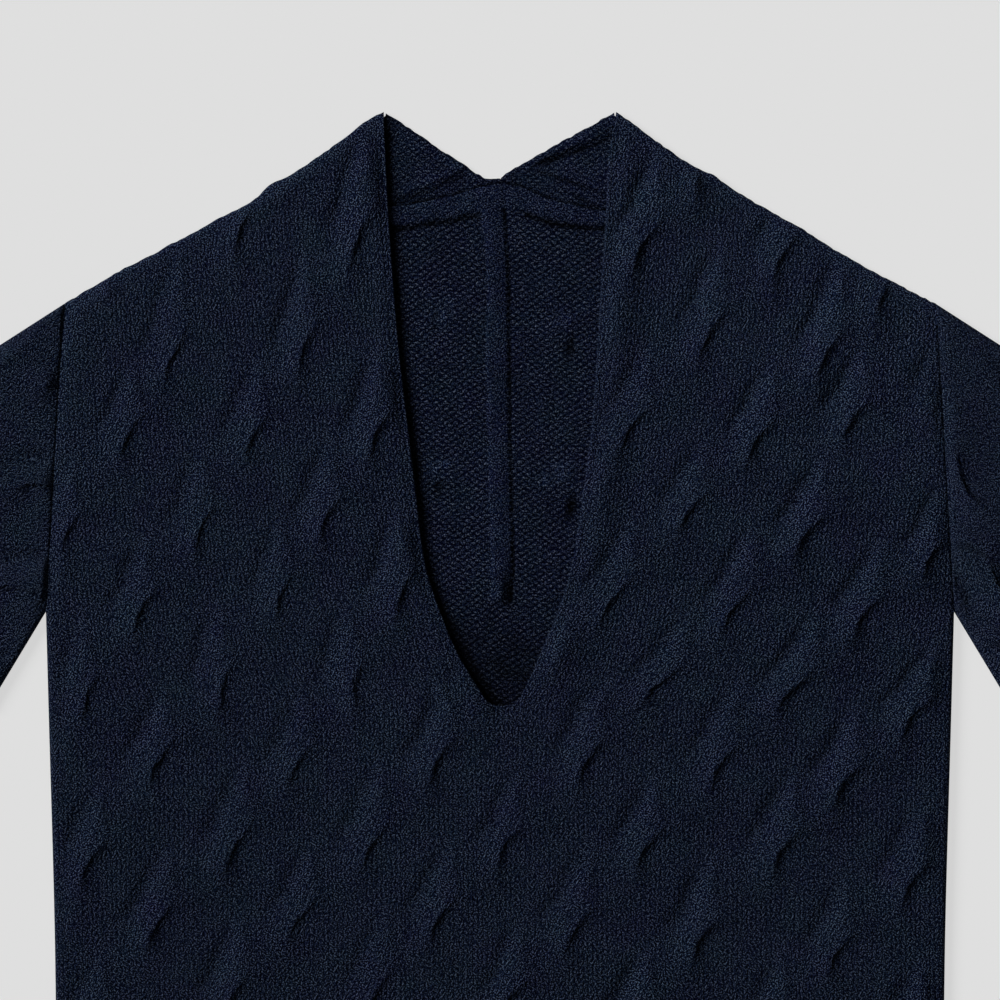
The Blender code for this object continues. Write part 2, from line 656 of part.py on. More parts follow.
def collar_half(side):
    """One back half of the collar: a plate of knit from the centre back to the tip's fold."""
    columns = len(NECK_STATIONS) - 1
    half_seam = SEAM_GAP / 2
    seam_x, seam_y = neck_seam(1)
    seam_x[0] = half_seam
    tip_x = 0.0612
    edge_x = spaced(half_seam, tip_x, columns)
    edge_line = straight_curve(COLLAR_EDGE, "x", side, edge_x)
    outline_edge = pairs(-edge_x, edge_line)
    flat_edge = pairs(-edge_x, edge_line - EDGE)
    fold_x = spaced(seam_x[-1], tip_x, 5)
    gap = FOLD_SEAM_GAP + (TIP_SEAM_GAP - FOLD_SEAM_GAP) * spaced(0, 1, 5)
    fold_line = shoulder_y(np.maximum(fold_x, TIP_X), 0.0)
    first_slope = (SHOULDER_LINE[1]["y"] - TIP_Y) / (SHOULDER_LINE[1]["x"] - TIP_X)
    beyond = TIP_Y + first_slope * (fold_x - TIP_X)
    fold_line = np.where(fold_x < TIP_X, beyond, fold_line)
    flat_fold = pairs(-fold_x, fold_line - (FOLD + gap) * math.sqrt(1 + first_slope ** 2))
    flat_edge[-1] = flat_fold[-1]
    flat_seam = pairs(-seam_x, seam_y)
    flat_seam[-1] = flat_fold[0]
    centre = pairs(-half_seam, spaced(flat_seam[0, 1], flat_edge[0, 1], 5))
    grid = four_sided(flat_seam, flat_edge, centre, flat_fold)
    return grid, outline_edge


def collar(name, side):
    grid, outline = collar_half(side)
    if side == "right":
        grid = grid * np.array([-1.0, 1.0])
        outline = outline * np.array([-1.0, 1.0])
    else:
        grid = grid[:, ::-1]
        outline = outline[::-1]
    rows, columns = grid.shape[:2]
    solid = Solid(name)

    def rise(j):
        return COLLAR_EDGE_RISE if j >= rows - 2 else 0.0

    top = [[solid.point(*grid[j, i], WALL + rise(j)) for i in range(columns)] for j in range(rows)]
    low = [[solid.point(*grid[j, i], 0.0) for i in range(columns)] for j in range(rows)]
    for j in range(rows - 1):
        for i in range(columns - 1):
            solid.face(top[j][i], top[j][i + 1], top[j + 1][i + 1])
            solid.face(top[j][i], top[j + 1][i + 1], top[j + 1][i])
            solid.face(low[j][i], low[j + 1][i + 1], low[j][i + 1])
            solid.face(low[j][i], low[j + 1][i], low[j + 1][i + 1])
    last = columns - 1
    end = rows - 1
    sections = [[top[0][i], low[0][i]] for i in range(columns)]
    sections += [[top[j][last], low[j][last]] for j in range(1, end)]
    for i in range(last, -1, -1):
        at = outline[i]
        on_edge = 0 < i < last or (side == "right" and i == 0) or (side == "left" and i == last)
        steps = []
        if on_edge:
            steps = [solid.point(*at, 0.75 * WALL), solid.point(*at, 0.25 * WALL)]
        sections.append([top[end][i]] + steps + [low[end][i]])
    sections += [[top[j][0], low[j][0]] for j in range(end - 1, 0, -1)]
    for k, section in enumerate(sections):
        solid.strip(section, sections[(k + 1) % len(sections)])
    solid.make()


def sleeve(name, sign):
    """A short sleeve: a tube of knit pressed flat, from the armhole seam to the cuff."""
    top_outline = np.array([[SHOULDER_END_X, SHOULDER_LINE[-1]["y"]], CUFF_TOP])
    low_outline = np.array([[UNDERARM_X, UNDERARM_Y], CUFF_LOW])
    armhole = top_outline[0] - low_outline[0]
    cuff = top_outline[1] - low_outline[1]

    def flat_end(corner, fold_direction, cross, cross_sign):
        """Moves a corner along the end's own line until it is a fold's radius inside."""
        cross = cross / np.linalg.norm(cross)
        fold_direction = fold_direction / np.linalg.norm(fold_direction)
        across = abs(cross[0] * fold_direction[1] - cross[1] * fold_direction[0])
        return corner - cross_sign * cross * FOLD / across

    along_top = top_outline[1] - top_outline[0]
    along_low = low_outline[1] - low_outline[0]
    top_flat = np.array([flat_end(top_outline[0], along_top, armhole, 1),
                         flat_end(top_outline[1], along_top, cuff, 1)])
    low_flat = np.array([flat_end(low_outline[0], along_low, armhole, -1),
                         flat_end(low_outline[1], along_low, cuff, -1)])
    axis = along_top / np.linalg.norm(along_top)
    upwards = -axis
    sideways = np.array([upwards[1], -upwards[0]]) * sign
    half = math.sqrt(0.5)
    round_over = [(half, FOLD + FOLD * half), (1.0, FOLD), (half, FOLD - FOLD * half)]
    shift = np.array([SEAM_GAP / 2, 0.0])

    solid = Solid(name)

    def place(point, height):
        return solid.point(sign * point[0], point[1], height)

    def section(share):
        """The flat's ends and the outline's ends, from the armhole (0) to the cuff (1)."""
        move = shift * (1 - share)
        ends = (top_flat, low_flat, top_outline, low_outline)
        return [end[0] * (1 - share) + end[1] * share + move for end in ends]

    sleeve_length = np.linalg.norm(top_flat[1] - top_flat[0])
    plain_parts = np.linspace(0, 1, SLEEVE_LOWER_COLUMNS + 1)
    outer = []
    for share in np.linspace(0, 1, SLEEVE_ROWS + 1):
        top, low, top_out, low_out = section(share)
        to_cuff = sleeve_length * (1 - share)
        hem = HEM_RISE * smoothstep((HEM_DEPTH - to_cuff) / 0.002)
        upper = []
        for part in np.linspace(0, 1, SLEEVE_COLUMNS + 1):
            at = top * (1 - part) + low * part
            from_cuff = at - top_outline[1]
            lobes = cable_height(np.array([from_cuff @ sideways]), np.array([from_cuff @ upwards]))[0]
            to_fold = min(np.linalg.norm(at - top), np.linalg.norm(at - low))
            fade = smoothstep(to_fold / FOLD_FADE + 0.2)
            fade *= smoothstep((to_cuff - HEM_DEPTH) / FOLD_FADE)
            upper.append(place(at, FRONT_TOP + lobes * fade + hem))
        low_fold = [place(low + (low_out - low) * out, height) for out, height in round_over]
        lower = [place(low * (1 - part) + top * part, 0.0) for part in plain_parts]
        top_fold = [place(top + (top_out - top) * out, height) for out, height in round_over[::-1]]
        outer.append([upper, low_fold, lower, top_fold])

    inner = []
    for share in (0.0, 1.0):
        top, low, top_out, low_out = section(share)
        out = FOLD_INSIDE / FOLD
        upper = [place(top * (1 - part) + low * part, FRONT_LOW) for part in plain_parts]
        low_fold = [place(low + (low_out - low) * out, FOLD)]
        lower = [place(low * (1 - part) + top * part, WALL) for part in plain_parts]
        top_fold = [place(top + (top_out - top) * out, FOLD)]
        inner.append([upper, low_fold, lower, top_fold])

    # on the right the rings turn one way round the axis, on the left the other
    def wall(first, second, outwards):
        if outwards != (sign > 0):
            solid.strip(second, first)
        else:
            solid.strip(first, second)

    def walls(first, second, outwards):
        """Joins two rings part by part: the upper face, a fold, the lower face, a fold."""
        for k in range(4):
            ends = []
            for ring in (first, second):
                if k % 2:
                    ends.append(ring[k - 1][-1:] + ring[k] + ring[(k + 1) % 4][:1])
                else:
                    ends.append(ring[k])
            wall(ends[0], ends[1], outwards)

    for first, second in zip(outer, outer[1:]):
        walls(first, second, True)
    walls(inner[0], inner[1], False)
    walls(inner[0], outer[0], True)
    walls(outer[-1], inner[1], True)
    solid.make()


def main():
    for leftover in list(bpy.data.objects):
        bpy.data.objects.remove(leftover, do_unlink=True)
    body_back()
    collar("collar_left", "left")
    collar("collar_right", "right")
    body_front()
    sleeve("sleeve_left", -1)
    sleeve("sleeve_right", 1)


main()
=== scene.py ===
import math

import bpy
import numpy as np
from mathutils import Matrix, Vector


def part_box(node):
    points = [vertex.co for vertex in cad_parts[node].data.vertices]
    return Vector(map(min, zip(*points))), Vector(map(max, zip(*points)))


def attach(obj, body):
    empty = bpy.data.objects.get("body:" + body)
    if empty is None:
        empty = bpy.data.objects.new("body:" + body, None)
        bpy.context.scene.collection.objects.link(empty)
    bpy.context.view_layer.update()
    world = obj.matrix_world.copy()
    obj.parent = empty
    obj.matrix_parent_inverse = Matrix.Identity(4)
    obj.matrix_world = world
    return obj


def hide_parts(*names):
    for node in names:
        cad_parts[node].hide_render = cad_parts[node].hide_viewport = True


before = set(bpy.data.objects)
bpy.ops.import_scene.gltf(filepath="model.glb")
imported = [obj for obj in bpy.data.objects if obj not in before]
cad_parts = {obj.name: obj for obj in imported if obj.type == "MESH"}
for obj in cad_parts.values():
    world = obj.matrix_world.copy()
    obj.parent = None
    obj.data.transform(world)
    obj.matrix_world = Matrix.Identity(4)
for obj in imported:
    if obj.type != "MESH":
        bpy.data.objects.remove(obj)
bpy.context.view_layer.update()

photoScale = 0.00055         # metres of cloth to one pixel of the photograph
photoCentreRow = 675.5       # the photograph's row that shows y = 0
photoMiddle = 500.0          # the photograph's column that shows x = 0

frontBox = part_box("front")
hemY = frontBox[0].y
tipY = frontBox[1].y

# the layers of the cloth, in metres above the surface that it lies on
cloth = {
    "wall": 0.0024,
    "layerGap": 0.0016,
    "edge": 0.0012,          # how far an open edge is rounded
    "seamGap": 0.00004,      # pieces all but touch at the seams
    "ragged": 0.0004,        # how far the yarn makes outer edges uneven
    "foldPaintedLight": 0.45,       # painted highlight on the walls of the shoulder folds
}
frontLow = cloth["wall"] + cloth["layerGap"]
frontTop = frontLow + cloth["wall"]
foldRadius = frontTop / 2

# the garment's outline, with the same stations as its solids
tipX = 0.064
vBottomY = -0.0168
shoulderEndX = 0.240
underarmX = 0.250
underarmY = 0.035
neckPointX = 0.100
sideTable = {"y": [hemY, -0.150, -0.020, underarmY], "x": [0.2440, 0.2450, 0.2485, underarmX]}
shoulderTable = {"x": [tipX, 0.113, 0.140, 0.206, shoulderEndX],
                 "y": [tipY, 0.2772, 0.2600, 0.2242, 0.2045]}
# how far the knit's bumps lift or lower that line on each side
shoulderBumps = {
    "x": [tipX, 0.0700, 0.0870, 0.0980, 0.1110, 0.1177, 0.1265, 0.1331, 0.1530, 0.1661, 0.1793,
          0.1925, 0.2060, shoulderEndX],
    "left": [0.0, 0.0016, 0.0004, -0.0001, -0.0001, 0.0, 0.0017, -0.0006, -0.0003, -0.0008,
             -0.0003, -0.0003, 0.0003, 0.0],
    "right": [0.0, 0.0002, -0.0011, -0.0016, -0.0004, 0.0010, 0.0003, 0.0004, 0.0002, 0.0002,
              -0.0014, -0.0019, -0.0020, 0.0],
}
neckTable = {
    "y": [vBottomY, -0.0161, -0.0142, -0.0090, -0.0010, 0.0100, 0.0322, 0.0553, 0.1020, 0.1405,
          0.1790, 0.2175, 0.2500, 0.2850, tipY],
    "left": [0.0, 0.0036, 0.0065, 0.0104, 0.0156, 0.0221, 0.0318, 0.0396, 0.0463, 0.0510,
             0.0556, 0.0588, 0.0611, 0.0630, tipX],
    "right": [0.0, 0.0060, 0.0094, 0.0126, 0.0166, 0.0212, 0.0306, 0.0380, 0.0458, 0.0506,
              0.0534, 0.0556, 0.0580, 0.0598, tipX],
}
neckSeamTable = {"x": [0.0, 0.012, 0.026, 0.040, 0.056, 0.072, 0.086, neckPointX],
                 "left": [0.2700, 0.2678, 0.2635, 0.2605, 0.2578, 0.2590, 0.2680, 0.2816],
                 "right": [0.2700, 0.2680, 0.2620, 0.2585, 0.2552, 0.2570, 0.2665, 0.2816]}
collarTable = {"x": [0.0, 0.007, 0.020, 0.040, 0.060, tipX],
               "left": [0.2740, 0.2738, 0.2812, 0.2945, 0.3077, 0.3100],
               "right": [0.2740, 0.2785, 0.2860, 0.2971, 0.3081, 0.3100]}
centreSeamTable = {"y": [hemY, -0.050, 0.054, 0.140, 0.250, 0.275],
                   "x": [0.0, 0.0015, 0.0066, 0.0050, 0.0025, 0.0]}
fanTable = {"y": [hemY, -0.030, -0.0168, -0.002, 0.042, 0.086, 0.135, 0.179, 0.234, tipY],
            "spread": [0.0, 0.0, 0.0005, 0.0072, 0.0183, 0.0258, 0.0314, 0.0360, 0.0405, 0.0450]}


def smoothCurve(table, across, along, at):
    # Cubic Hermite curve through the table's stations: the slope at each is its neighbours' mean.
    known = np.array(table[across])
    values = np.array(table[along])
    at = np.clip(np.asarray(at, dtype=float), known[0], known[-1])
    slopes = np.gradient(values, known)
    i = np.clip(np.searchsorted(known, at, side="right") - 1, 0, len(known) - 2)
    step = known[i + 1] - known[i]
    t = (at - known[i]) / step
    start = (1 + 2 * t) * (1 - t) ** 2 * values[i] + t * (1 - t) ** 2 * step * slopes[i]
    end = t * t * (3 - 2 * t) * values[i + 1] + t * t * (t - 1) * step * slopes[i + 1]
    return start + end


def smoothStep(value):
    # 0 below 0, 1 above 1, and 3v^2 - 2v^3 between them.
    value = np.clip(value, 0.0, 1.0)
    return value * value * (3 - 2 * value)


def bell(value, width):
    # exp(-(value / width)^2): 1 in the middle and 0.37 one width away
    return np.exp(-(value / width) ** 2)


def spot(right, wide, down, high):
    # the same in two directions at once
    return np.exp(-(right / wide) ** 2 - (down / high) ** 2)


def photoOffset(x, y, column, row):
    # how far a point lies to the right of and below a place in the photograph, in its pixels
    return x / photoScale + photoMiddle - column, photoCentreRow - y / photoScale - row


def pairs(x, y):
    # points from two arrays of coordinates, or from one array and one number
    return np.stack(np.broadcast_arrays(np.asarray(x, float), np.asarray(y, float)), axis=-1)


def shoulderLine(x):
    # Straight runs between the stations with the bumps added, on the left for x below 0 and on
    # the right above; towards the middle the first run goes on.
    knownX = np.array(shoulderTable["x"])
    knownY = np.array(shoulderTable["y"])
    first = (knownY[1] - knownY[0]) / (knownX[1] - knownX[0])
    out = np.abs(x)
    line = np.where(out < tipX, knownY[0] + first * (out - tipX), np.interp(out, knownX, knownY))
    return line + np.where(np.asarray(x) < 0, smoothCurve(shoulderBumps, "x", "left", out),
                           smoothCurve(shoulderBumps, "x", "right", out))


def ragged(x):
    # the yarn's own unevenness along an outer edge
    return cloth["ragged"] * evenNoise(x + 1, 0 * x, 0.0024, 41)


def shoulderY(x, inset=0.0):
    # A line inside the shoulder fold: its height less the inset, over the cosine of its slope.
    x = np.asarray(x, dtype=float)
    slope = (shoulderLine(x + 0.004) - shoulderLine(x - 0.004)) / 0.008
    return shoulderLine(x) - inset * np.sqrt(1 + slope ** 2)


def armholeX(y):
    # a straight line from the underarm to the shoulder, half a seam's gap further in
    share = (np.asarray(y) - underarmY) / (shoulderTable["y"][-1] - underarmY)
    return underarmX + (shoulderEndX - underarmX) * share - cloth["seamGap"] / 2


def fourSided(bottom, top, first, last):
    # Coons patch: the two ways of joining opposite edges by straight lines, added, less the
    # bilinear blend of the four corners.
    s = np.linspace(0, 1, len(bottom))[None, :, None]
    t = np.linspace(0, 1, len(first))[:, None, None]
    corners = ((1 - s) * (1 - t) * bottom[0] + s * (1 - t) * bottom[-1]
               + (1 - s) * t * top[0] + s * t * top[-1])
    return ((1 - t) * bottom[None] + t * top[None]
            + (1 - s) * first[:, None] + s * last[:, None] - corners)


def evenNoise(x, y, size, seed):
    # Smooth random relief from -1 to 1: a random grid, blended with smooth steps between its
    # points.
    cells = 256
    grid = np.random.default_rng(seed).uniform(-1, 1, (cells, cells))
    gx = x / size
    gy = y / size
    ix = np.floor(gx).astype(int)
    iy = np.floor(gy).astype(int)
    fx = smoothStep(gx - ix)
    fy = smoothStep(gy - iy)
    low, high = [grid[row % cells, ix % cells] * (1 - fx) + grid[row % cells, (ix + 1) % cells] * fx
                 for row in (iy, iy + 1)]
    return low * (1 - fy) + high * fy


knit = {
    "wale": 0.00528,         # width of one column of stitches
    "course": 0.00358,       # height of one course
    "fanNear": 1.05,         # the fan's share beside the V
    "fanFall": 2.36,         # how it closes outwards
    "tiltLeft": 0.04,        # rise of the courses for each metre outwards
    "tiltRight": 0.09,
    "stretchFrom": 0.180,    # above this the courses are drawn apart
    "stretch": 0.22,
}
cable = {
    "pitch": 0.0377,         # from one cable to the next
    "repeat": 0.09075,       # from one crossing to the next in the same cable
    "startX": 0.0030,
    "startY": -0.0462,
    "rise": 0.0030,          # of a crossing's front strand above the plain knit
    "valley": 0.0017,        # of the hollow on its left
    "deepest": 0.0019,       # where hollows meet
    "uneven": 0.0014,        # how far its edges wander
    "quiet": 0.84,           # the crossings' share of all this on the left half
    "trench": 0.0001,        # of the crease on its right
    "variation": 0.22,       # how much the crossings differ
    "lean": 0.40,            # sideways shift of the strand's columns for each metre up
    "courseLean": 0.30,
    "latticeLow": (-0.26, -0.31),    # the corners of the lattice on the front
    "latticeHigh": (0.26, 0.29),
    "apart": (0.6, 0.3),     # a lattice crossing this near to one that shows is left out
    # the rest in pixels of the photograph
    "reach": 110,            # of one crossing
    "shelfLength": 85,
    "hollowSpread": 9,
    "trenchAt": 6,           # right of the strand's edge
    "trenchSpread": 4,
    "creaseAt": 3,
    "hollowPaintedShade": 0.46,      # painted shade in the hollow and painted light on the slope up from it
    "slopePaintedLight": 0.24,
    "toneSpread": 7,
}
# the crossings that the photograph shows, by its own columns and rows
crossings = {
    "left": [(246, 221), (362, 233), (178, 351), (308, 345), (132, 432), (257, 432), (380, 430),
             (204, 526), (331, 514), (146, 606), (285, 591), (405, 589), (226, 683), (357, 680),
             (163, 757), (302, 761), (443, 757), (239, 843), (377, 840), (163, 920), (305, 914),
             (445, 914), (236, 995), (381, 989)],
    "right": [(648, 241), (788, 251), (713, 330), (831, 351), (636, 424), (762, 436), (857, 415),
              (694, 508), (810, 531), (617, 597), (739, 605), (868, 612), (667, 680), (798, 686),
              (593, 757), (726, 761), (848, 780), (510, 843), (651, 845), (787, 847), (580, 925),
              (706, 936), (842, 949), (514, 995)],
}
# A crossing's front strand, by rows down the photograph from the crease's middle: its left edge,
# its highest line and its right edge, in pixels to the right; its share of the rise; how its slope
# bulges; its share of the hollow and of the crease, which is the crease's trench and its line of
# painted shade; how softly it falls on its right; and the share of it, the shelf, that sinks slowly
# there.
strandTable = {
    "down": [-84, -66, -54, -46, -36, -26, -19, -12, -5, 3, 11, 19, 28, 42, 60],
    "left": [4, -2, -8, -13, -18, -21, -26, -32, -35, -38, -41, -44, -46, -46, -42],
    "peak": [12, 8, 6, 5, 3, 1, -1, -3, -5, -8, -11.5, -14, -17, -20, -22],
    "edge": [12.5, 8.5, 7, 9, 11.5, 13, 11.5, 5.5, -0.5, -6.5, -11, -13.5, -16.5, -19.5,
             -21.5],
    "rise": [0.0, 0.40, 0.75, 0.95, 1.0, 1.0, 1.0, 1.0, 1.0, 1.0, 0.95, 0.80, 0.60, 0.35, 0.0],
    "bulge": [0.75, 0.75, 0.75, 0.75, 0.75, 0.8, 0.85, 0.95, 1.1, 1.25, 1.3, 1.25, 1.1, 1.0, 1.0],
    "hollow": [0.0, 0.35, 0.7, 1.0, 1.0, 1.0, 1.0, 0.8, 0.5, 0.25, 0.1, 0.0, 0.0, 0.0, 0.0],
    "paintedShade": [0.0, 0.0, 0.0, 0.0, 0.0, 0.0, 0.35, 0.65, 0.90, 1.05, 1.05, 0.8, 0.25, 0.0, 0.0],
    "fall": [50, 50, 50, 45, 35, 24, 15, 9, 7, 5.5, 5.0, 8, 12, 18, 24],
    "shelf": [1.0, 1.0, 1.0, 1.0, 0.97, 0.88, 0.76, 0.60, 0.42, 0.25, 0.15, 0.08, 0.0, 0.0, 0.0],
}


def knitCoordinates(x, y):
    # Column and course position of a point of the front: the fan above the V taken out.
    spread = smoothCurve(fanTable, "y", "spread", y)
    outwards = np.maximum(np.abs(x) - knit["fanNear"] * spread, 0.0)
    outwards = outwards / (1 - knit["fanFall"] * spread)
    tilt = np.where(x < 0, knit["tiltLeft"], knit["tiltRight"])
    along = y + tilt * np.abs(x) - knit["stretch"] * np.maximum(y - knit["stretchFrom"], 0.0)
    return np.sign(x) * outwards, along


def latticeCentres(low, high):
    # Crossings of an even lattice between two corners; every other column is half a repeat lower.
    columns = np.arange(math.floor((low[0] - cable["startX"]) / cable["pitch"]),
                        math.ceil((high[0] - cable["startX"]) / cable["pitch"]) + 1)
    rows = np.arange(math.floor((low[1] - cable["startY"]) / cable["repeat"]) - 1,
                     math.ceil((high[1] - cable["startY"]) / cable["repeat"]) + 2)
    column, row = [grid.ravel() for grid in np.meshgrid(columns, rows)]
    drop = np.where(np.mod(column, 2) == 0, cable["repeat"] / 2, 0.0)
    return pairs(cable["startX"] + column * cable["pitch"],
                 cable["startY"] + row * cable["repeat"] - drop)


def frontCentres():
    # The crossings that show, and lattice ones where the photograph shows none.
    seen = np.array(crossings["left"] + crossings["right"], dtype=float)
    x = (seen[:, 0] - photoMiddle) * photoScale
    y = (photoCentreRow - seen[:, 1]) * photoScale
    seen = np.stack(knitCoordinates(x, y), axis=1)
    rest = latticeCentres((cable["latticeLow"][0], hemY), cable["latticeHigh"])
    near = np.array([cable["pitch"] * cable["apart"][0], cable["repeat"] * cable["apart"][1]])
    away = np.abs(rest[:, None] - seen[None]) / near
    return np.concatenate([seen, rest[(away.max(axis=2) > 1).all(axis=1)]])


def cableRelief(across, along, centres):
    # Height, the knit's own shift, and painted shade and light. Each front strand climbs from its
    # hollow to its highest line as share^bulge. Beyond its right edge the shelf sinks as a smooth
    # step and the rest falls as exp(-(past / fall)^2). On its left the hollow fades as a bell, and
    # so does the trench beside the crease.
    height = np.zeros_like(across)
    paintedShading = np.zeros_like(across)
    line = np.zeros_like(across)
    away = np.full_like(across, 12.0)       # pixels from the nearest crease, its side as the sign
    shift = np.zeros(across.shape + (2,))
    reach = cable["reach"] * photoScale
    wander = (0.7 * evenNoise(across, along, 0.0075, 31)
              + 0.5 * evenNoise(across, along, 0.0032, 32))
    wander *= cable["uneven"] / photoScale
    for number, centre in enumerate(centres):
        near = (np.abs(across - centre[0]) < reach) & (np.abs(along - centre[1]) < reach)
        if not near.any():
            continue
        right = (across[near] - centre[0]) / photoScale
        down = (centre[1] - along[near]) / photoScale
        # no two crossings are quite alike
        vary = 1 + cable["variation"] * math.sin(number * 2.4)
        vary *= cable["quiet"] if centre[0] < 0 else 1.0
        down = down * (1 + 0.08 * math.sin(number * 5.1))
        right = right + 0.03 * math.sin(number * 7.9) * down + wander[near]
        at = {key: np.interp(down, strandTable["down"], values)
              for key, values in strandTable.items() if key != "down"}
        rise = smoothStep(at["rise"]) * cable["rise"] * vary
        hollow = smoothStep(at["hollow"]) * cable["valley"] * vary
        share = np.clip((right - at["left"]) / (at["peak"] - at["left"]), 0.0, 1.0)
        onTop = smoothStep((right - at["peak"]) / (at["edge"] - at["peak"]))
        past = np.maximum(right - at["edge"], 0.0)
        before = np.maximum(at["left"] - right, 0.0)
        strand = (0.87 * rise + hollow) * share ** at["bulge"] - hollow + 0.13 * rise * onTop
        onRight = rise * (at["shelf"] * smoothStep(1 - past / cable["shelfLength"])
                          + (1 - at["shelf"]) * bell(past, at["fall"]))
        onLeft = -hollow * bell(before, cable["hollowSpread"])
        lift = np.where(past > 0, onRight, np.where(before > 0, onLeft, strand))
        beside = bell(right - at["edge"] - cable["trenchAt"], cable["trenchSpread"])
        height[near] += lift - cable["trench"] * at["paintedShade"] * beside
        # painted shade in the hollow and a painted highlight on the middle of the slope up from it
        inHollow = bell(right - at["left"] + 1, cable["toneSpread"])
        onSlope = bell(right - (at["left"] + at["peak"]) / 2, cable["toneSpread"])
        paintedShading[near] += (cable["hollowPaintedShade"] * smoothStep(at["hollow"]) * inHollow
                       - cable["slopePaintedLight"] * smoothStep(at["rise"]) * onSlope) * vary
        # the material paints the crease's line of shade from how far away the line is
        fromLine = right - at["edge"] - cable["creaseAt"]
        closer = (at["paintedShade"] > 0) & (np.abs(fromLine) < np.abs(away[near]))
        strength = at["paintedShade"] * smoothStep(1.4 - np.abs(fromLine) / 9)
        strength = strength * (0.9 + 0.1 * math.sin(number * 3.7))
        line[near] = np.where(closer, strength, line[near])
        away[near] = np.where(closer, fromLine, away[near])
        inside = smoothStep(at["rise"]) * smoothStep((right - at["left"]) / 8)
        inside = inside * smoothStep(1 - past / 6)
        shift[near, 0] += inside * cable["lean"] * down * photoScale
        shift[near, 1] -= inside * cable["courseLean"] * (right + 14) * photoScale
    tones = {"paintedShade": paintedShading, "line": line, "away": away}
    return np.maximum(height, -cable["deepest"]), shift, tones


def makeMesh(name, points, quads, underside, uvMaps, shades):
    # A mesh from arrays of points and of quads, and under a panel one many-sided flat face.
    loops = quads.ravel()
    totals = np.full(len(quads), 4)
    if underside is not None:
        loops = np.concatenate([loops, underside])
        totals = np.append(totals, len(underside))
    mesh = bpy.data.meshes.new(name)
    mesh.vertices.add(len(points))
    mesh.vertices.foreach_set("co", points.astype(np.float32).ravel())
    mesh.loops.add(len(loops))
    mesh.loops.foreach_set("vertex_index", loops.astype(np.int32))
    mesh.polygons.add(len(totals))
    mesh.polygons.foreach_set("loop_start", (np.cumsum(totals) - totals).astype(np.int32))
    mesh.polygons.foreach_set("loop_total", totals.astype(np.int32))
    mesh.update(calc_edges=True)
    mesh.validate()
    for label, uv in uvMaps.items():
        layer = mesh.uv_layers.new(name=label)
        layer.uv.foreach_set("vector", uv[loops].astype(np.float32).ravel())
    for label, values in shades.items():
        attribute = mesh.attributes.new(label, "FLOAT", "POINT")
        attribute.data.foreach_set("value", values.astype(np.float32))
    mesh.polygons.foreach_set("use_smooth", np.ones(len(mesh.polygons), dtype=bool))
    piece = bpy.data.objects.new(name, mesh)
    bpy.context.scene.collection.objects.link(piece)
    return piece


def gridQuads(index):
    # Quads of a grid of vertex numbers, counterclockwise where rows go up and columns right.
    corners = [index[:-1, :-1], index[:-1, 1:], index[1:, 1:], index[1:, :-1]]
    return np.stack(corners, -1).reshape(-1, 4)


ringSteps = 9                # points down the wall round a panel's edge


def roundProfile(kind, low):
    # How the wall goes from its upper face to its lower one: ringSteps pairs of how far out
    # (0 at the flat's edge, 1 at the outline) and the height. Folds are half circles, cosine out
    # and sine up; an open edge is a half circle as thick as the wall; "over" and "under" are the
    # two sides of a seam whose joint slants, so nothing shows through it from above.
    wall = cloth["wall"]
    hair = 0.0001            # keeps two points of one wall apart
    quarter = math.pi / 2
    if kind == "over":
        return np.linspace(1, 0, ringSteps), low + np.linspace(wall, hair, ringSteps)
    if kind == "under":
        return np.linspace(0.05, 1, ringSteps), low + np.linspace(wall - hair, hair, ringSteps)
    if kind == "open":
        angle = np.linspace(quarter, -quarter, ringSteps + 2)[1:-1]
        return np.cos(angle) ** 0.7, low + wall / 2 + wall / 2 * np.sin(angle)
    if kind == "round":
        angle = np.linspace(quarter, -quarter, 7)[1:]
        out = np.concatenate([np.cos(angle).clip(0) ** 0.6, [0.0, 0.18, 0.18]])
        height = foldRadius + foldRadius * np.sin(angle)
        return out, np.concatenate([height, [wall, wall + 0.0004, frontLow - 0.0004]])
    if kind == "frontSide":
        angle = np.linspace(quarter, 0.05, 7)[1:]
        out = np.concatenate([np.cos(angle), [0.9, 0.5, 0.2]])
        height = foldRadius + foldRadius * np.sin(angle)
        return out, np.concatenate([height, [foldRadius + hair] * 3])
    if kind == "backSide":
        angle = np.linspace(-0.05, -quarter, 7)[:-1]
        out = np.concatenate([[0.2, 0.5, 0.9], np.cos(angle)])
        height = foldRadius + foldRadius * np.sin(angle)
        return out, np.concatenate([[foldRadius - hair] * 3, height])
    # a plain cut
    return np.zeros(ringSteps), np.linspace(low + wall, low, ringSteps + 2)[1:-1]


def unrolled(upper, outline, ring):
    # The rings' points laid flat: each as far from the flat's edge as the way down to it is long.
    at = upper[:, :2]
    away = outline - at
    size = np.linalg.norm(away, axis=1)[:, None]
    away = np.where(size > 1e-6, away / np.maximum(size, 1e-6), 0.7)
    steps = np.linalg.norm(np.diff(ring, axis=1, prepend=upper[:, None]), axis=2)
    return at[:, None] + away[:, None] * np.cumsum(steps, axis=1)[:, :, None]


def edgeRuns(runs):
    # A panel's edge from its runs, counterclockwise. Each has its half (0 left, 1 right), its rows
    # and columns, its outline points, and one kind of profile or a list of them.
    half, row, column, outline, kinds = [], [], [], [], []
    for which, rows, columns, points, kind in runs:
        rows, columns = np.broadcast_arrays(rows, columns)
        half.append(np.full(len(rows), which))
        row.append(rows)
        column.append(columns)
        outline.append(points)
        kinds.extend([kind] * len(rows) if isinstance(kind, str) else kind)
    return [np.concatenate(values) for values in (half, row, column, outline)] + [kinds]


